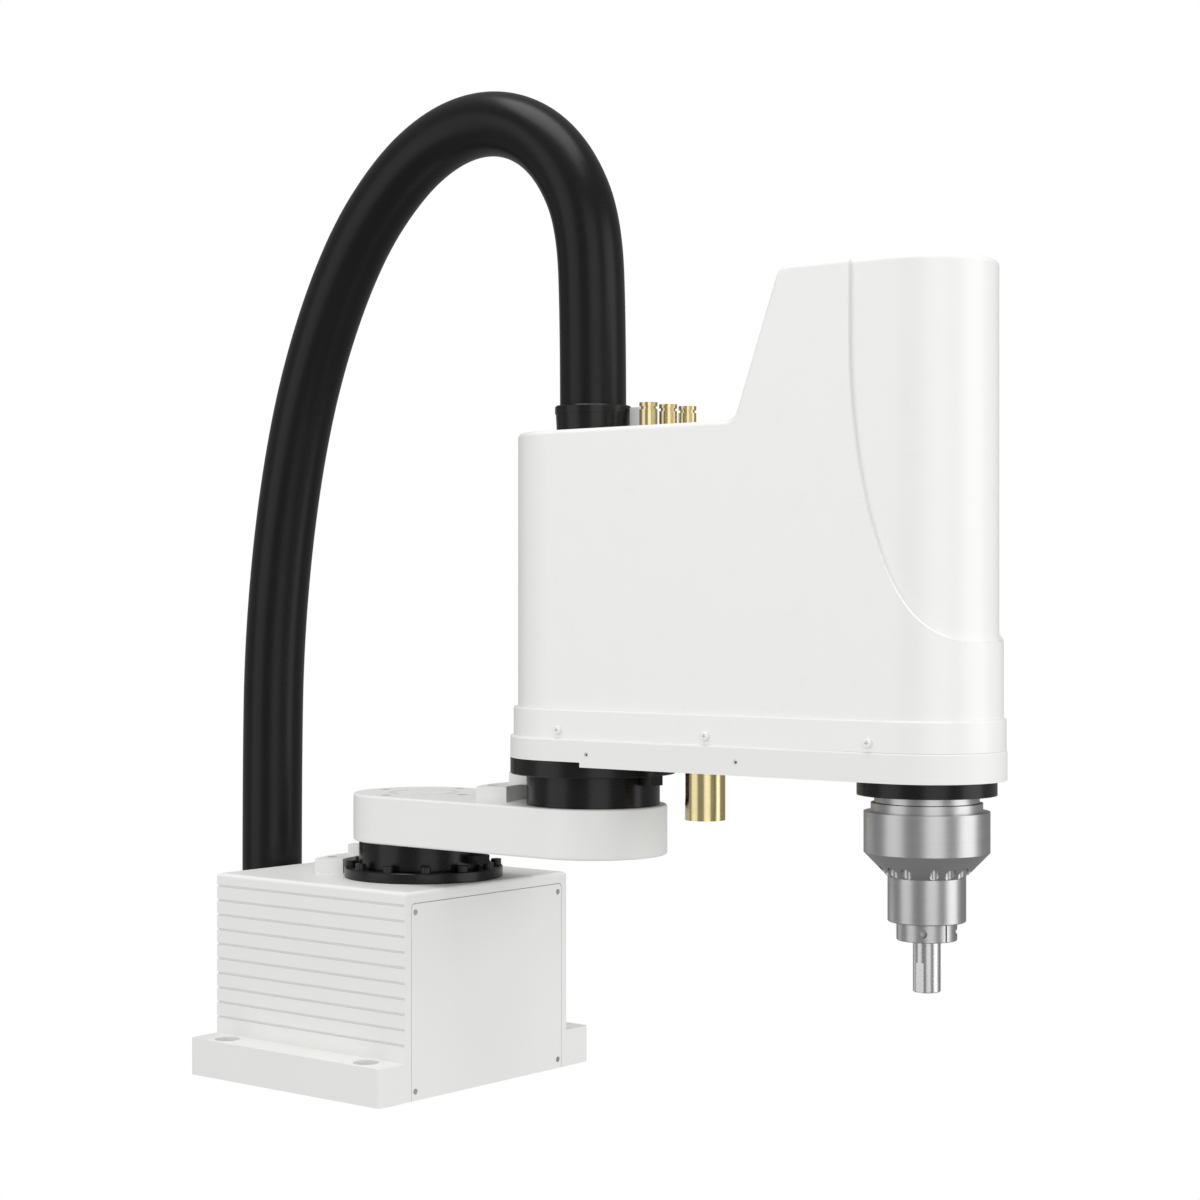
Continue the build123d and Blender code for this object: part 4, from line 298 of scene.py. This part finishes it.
# Painted castings: the base box with its feet, plates and duct box, the first arm, the second arm's tray
# and both stop brackets. Aluminium with a warm white powder coat, slightly pebbled, with a satin gloss.
powder_coat, shader, start = new_finish("powder_coat", (0.80, 0.80, 0.785), 0.42)
place = own_place(start)
pebble = cloud(start, place, 1400.0, 2.0)
blotch = cloud(start, place, 9.0)
tone = shade_between(start, blotch, (0.785, 0.785, 0.772), (0.815, 0.815, 0.80))
start.feed(shader.inputs["Base Color"], tone)
start.feed(shader.inputs["Roughness"], 0.36 + 0.10 * pebble + 0.06 * blotch)
set_bump(shader, start, pebble, 0.10, 0.0002)
dress(
    (
        "base_housing",
        "base_front_plate",
        "base_rear_plate",
        "rear_duct_box",
        "arm_1_link",
        "arm_2_casting",
        "base_stop_bracket",
        "elbow_stop_bracket",
    ),
    powder_coat,
)

# Second arm's cover: one smooth warm white moulding, a little glossier than the castings.
# It stands on the tray and is held by the six screws round its lower edge.
cover_gloss, shader, start = new_finish("cover_gloss", (0.83, 0.83, 0.815), 0.28)
place = own_place(start)
ripple = cloud(start, place, 60.0, 2.0)
grain = cloud(start, place, 1800.0, 1.0)
tone = shade_between(start, ripple, (0.82, 0.82, 0.806), (0.84, 0.84, 0.826))
start.feed(shader.inputs["Base Color"], tone)
start.feed(shader.inputs["Roughness"], 0.24 + 0.06 * ripple + 0.04 * grain)
set_bump(shader, start, grain, 0.04, 0.0001)
dress(("arm_2_cover",), cover_gloss)

# Cover screws: pan-head steel screws with a white coat and a cross recess in each head.
# They are driven in from the side, near the cover's lower edge.
screw_white, shader, start = new_finish("screw_white", (0.84, 0.84, 0.82), 0.30)
place = own_place(start)
speck = cloud(start, place, 1300.0)
start.feed(shader.inputs["Roughness"], 0.24 + 0.12 * speck)
set_bump(shader, start, speck, 0.05, 0.0001)
dress(("cover_screws",), screw_white)

# Black parts: the reducer flange, both barrels, the elbow disc, the ring under the tool end, and the
# sockets, collar and gland. Anodised aluminium, turned, so that fine grooves run round the axis.
black_anodised, shader, start = new_finish("black_anodised", (0.006, 0.006, 0.006), 0.30)
place = own_place(start)
tooling = start.node(
    "ShaderNodeTexWave", {"wave_type": "BANDS", "bands_direction": "Z"}, {"Vector": place, "Scale": 420.0}
)
speck = cloud(start, place, 600.0)
shader.inputs["Specular IOR Level"].default_value = 0.30
start.feed(shader.inputs["Roughness"], 0.20 + 0.08 * speck + 0.04 * tooling)
tone = shade_between(start, speck, (0.005, 0.005, 0.005), (0.008, 0.008, 0.008))
start.feed(shader.inputs["Base Color"], tone)
set_bump(shader, start, tooling + 0.5 * speck, 0.05, 0.0001)
dress(("j1_reducer_flange", "j1_barrel", "j2_barrel", "j2_disc", "j3_ring", "base_sockets"), black_anodised)
dress(("hose_collar", "hose_gland"), black_anodised)

# Socket screws of the joints, the bell and the stop collar's clamp: steel with a black oxide.
# Bought parts, with a satin sheen.
black_oxide, shader, start = new_finish("black_oxide", (0.02, 0.02, 0.021), 0.38, 0.4)
place = own_place(start)
speck = cloud(start, place, 900.0)
start.feed(shader.inputs["Roughness"], 0.30 + 0.16 * speck)
set_bump(shader, start, speck, 0.06, 0.0001)
dress(
    (
        "j1_flange_bolts",
        "base_stop_bolts",
        "elbow_stop_bolts",
        "j1_hub_bolts",
        "j2_barrel_bolts",
        "j2_disc_bolts",
        "bell_screws",
        "collar_clamp_screw",
    ),
    black_oxide,
)

# Small bright screws of the base plates, the duct box and the tray: zinc-plated steel.
# The plate screws are countersunk.
zinc, shader, start = new_finish("zinc_plate", (0.56, 0.56, 0.55), 0.32, 0.9)
place = own_place(start)
speck = cloud(start, place, 1200.0)
start.feed(shader.inputs["Roughness"], 0.26 + 0.14 * speck)
set_bump(shader, start, speck, 0.05, 0.0001)
dress(("plate_screws", "duct_box_screws", "casting_set_screws"), zinc)

# Spline unit: the housing, the bell and its ring, the stop collars, the nut and the bearings.
# Turned steel with a satin nickel plate, with tool marks running round the axis.
turned_steel, shader, start = new_finish("turned_steel", (0.52, 0.52, 0.52), 0.30, 1.0)
place = own_place(start)
squeezed = start.node("ShaderNodeMapping", {}, {"Vector": place, "Scale": (8.0, 8.0, 900.0)})
lines = cloud(start, squeezed, 3.0, 2.0)
speck = cloud(start, place, 1500.0, 2.0)
start.feed(shader.inputs["Roughness"], 0.24 + 0.12 * lines + 0.06 * speck)
tone = shade_between(start, lines, (0.47, 0.47, 0.475), (0.58, 0.58, 0.58))
start.feed(shader.inputs["Base Color"], tone)
set_bump(shader, start, lines + 0.4 * speck, 0.10, 0.0001)
dress(
    (
        "spline_housing",
        "spline_bell",
        "bell_lip_ring",
        "lower_stop_collar",
        "upper_stop_collar",
        "screw_nut",
        "spline_bearings",
        "nut_bearing",
    ),
    turned_steel,
)

# Tool shaft: hardened steel, ground bright, so that very fine lines run round it.
# It slides and turns inside the spline unit.
ground_steel, shader, start = new_finish("ground_steel", (0.60, 0.60, 0.60), 0.24, 1.0)
place = own_place(start)
squeezed = start.node("ShaderNodeMapping", {}, {"Vector": place, "Scale": (20.0, 20.0, 1500.0)})
lines = cloud(start, squeezed, 2.0, 2.0)
start.feed(shader.inputs["Roughness"], 0.22 + 0.10 * lines)
set_bump(shader, start, lines, 0.05, 0.0001)
dress(("tool_shaft",), ground_steel)

# Brass: the cable sleeve under the second arm and the push-in air fittings on cover and base.
# Turned from bar, left bright, with a little tarnish.
brass, shader, start = new_finish("turned_brass", (0.74, 0.61, 0.32), 0.22, 1.0)
place = own_place(start)
squeezed = start.node("ShaderNodeMapping", {}, {"Vector": place, "Scale": (12.0, 12.0, 1100.0)})
lines = cloud(start, squeezed, 3.0, 2.0)
tarnish = cloud(start, place, 120.0)
start.feed(shader.inputs["Roughness"], 0.16 + 0.14 * lines)
tone = shade_between(start, tarnish, (0.66, 0.55, 0.29), (0.76, 0.65, 0.37))
start.feed(shader.inputs["Base Color"], tone)
set_bump(shader, start, lines, 0.08, 0.0001)
dress(("brass_sleeve", "arm_air_fittings", "base_air_fittings"), brass)

# User socket beside the hose: a light grey plastic moulding, slightly grained.
# It stands on the cover's top.
socket_grey, shader, start = new_finish("socket_grey", (0.58, 0.58, 0.565), 0.45)
place = own_place(start)
speck = cloud(start, place, 1100.0)
start.feed(shader.inputs["Roughness"], 0.40 + 0.12 * speck)
set_bump(shader, start, speck, 0.08, 0.0001)
dress(("user_socket",), socket_grey)

# Drives: the four motors in black and the two rubber belts.
# They sit inside the base and under the second arm's cover.
motor_black, shader, start = new_finish("motor_black", (0.03, 0.03, 0.032), 0.5)
place = own_place(start)
speck = cloud(start, place, 700.0)
start.feed(shader.inputs["Roughness"], 0.42 + 0.16 * speck)
set_bump(shader, start, speck, 0.10, 0.0001)
dress(("j1_motor", "j2_motor", "lift_motor", "spin_motor", "lift_belt", "spin_belt"), motor_black)

# The plate and bracket that carry the drives under the cover, and the pulleys.
# Bare aluminium, milled or turned.
milled, shader, start = new_finish("milled_aluminium", (0.62, 0.62, 0.62), 0.36, 1.0)
place = own_place(start)
speck = cloud(start, place, 700.0)
start.feed(shader.inputs["Roughness"], 0.30 + 0.14 * speck)
set_bump(shader, start, speck, 0.08, 0.0001)
dress(
    (
        "motor_plate",
        "nut_bracket",
        "nut_pulley",
        "spline_pulley",
        "lift_motor_pulley",
        "spin_motor_pulley",
    ),
    milled,
)
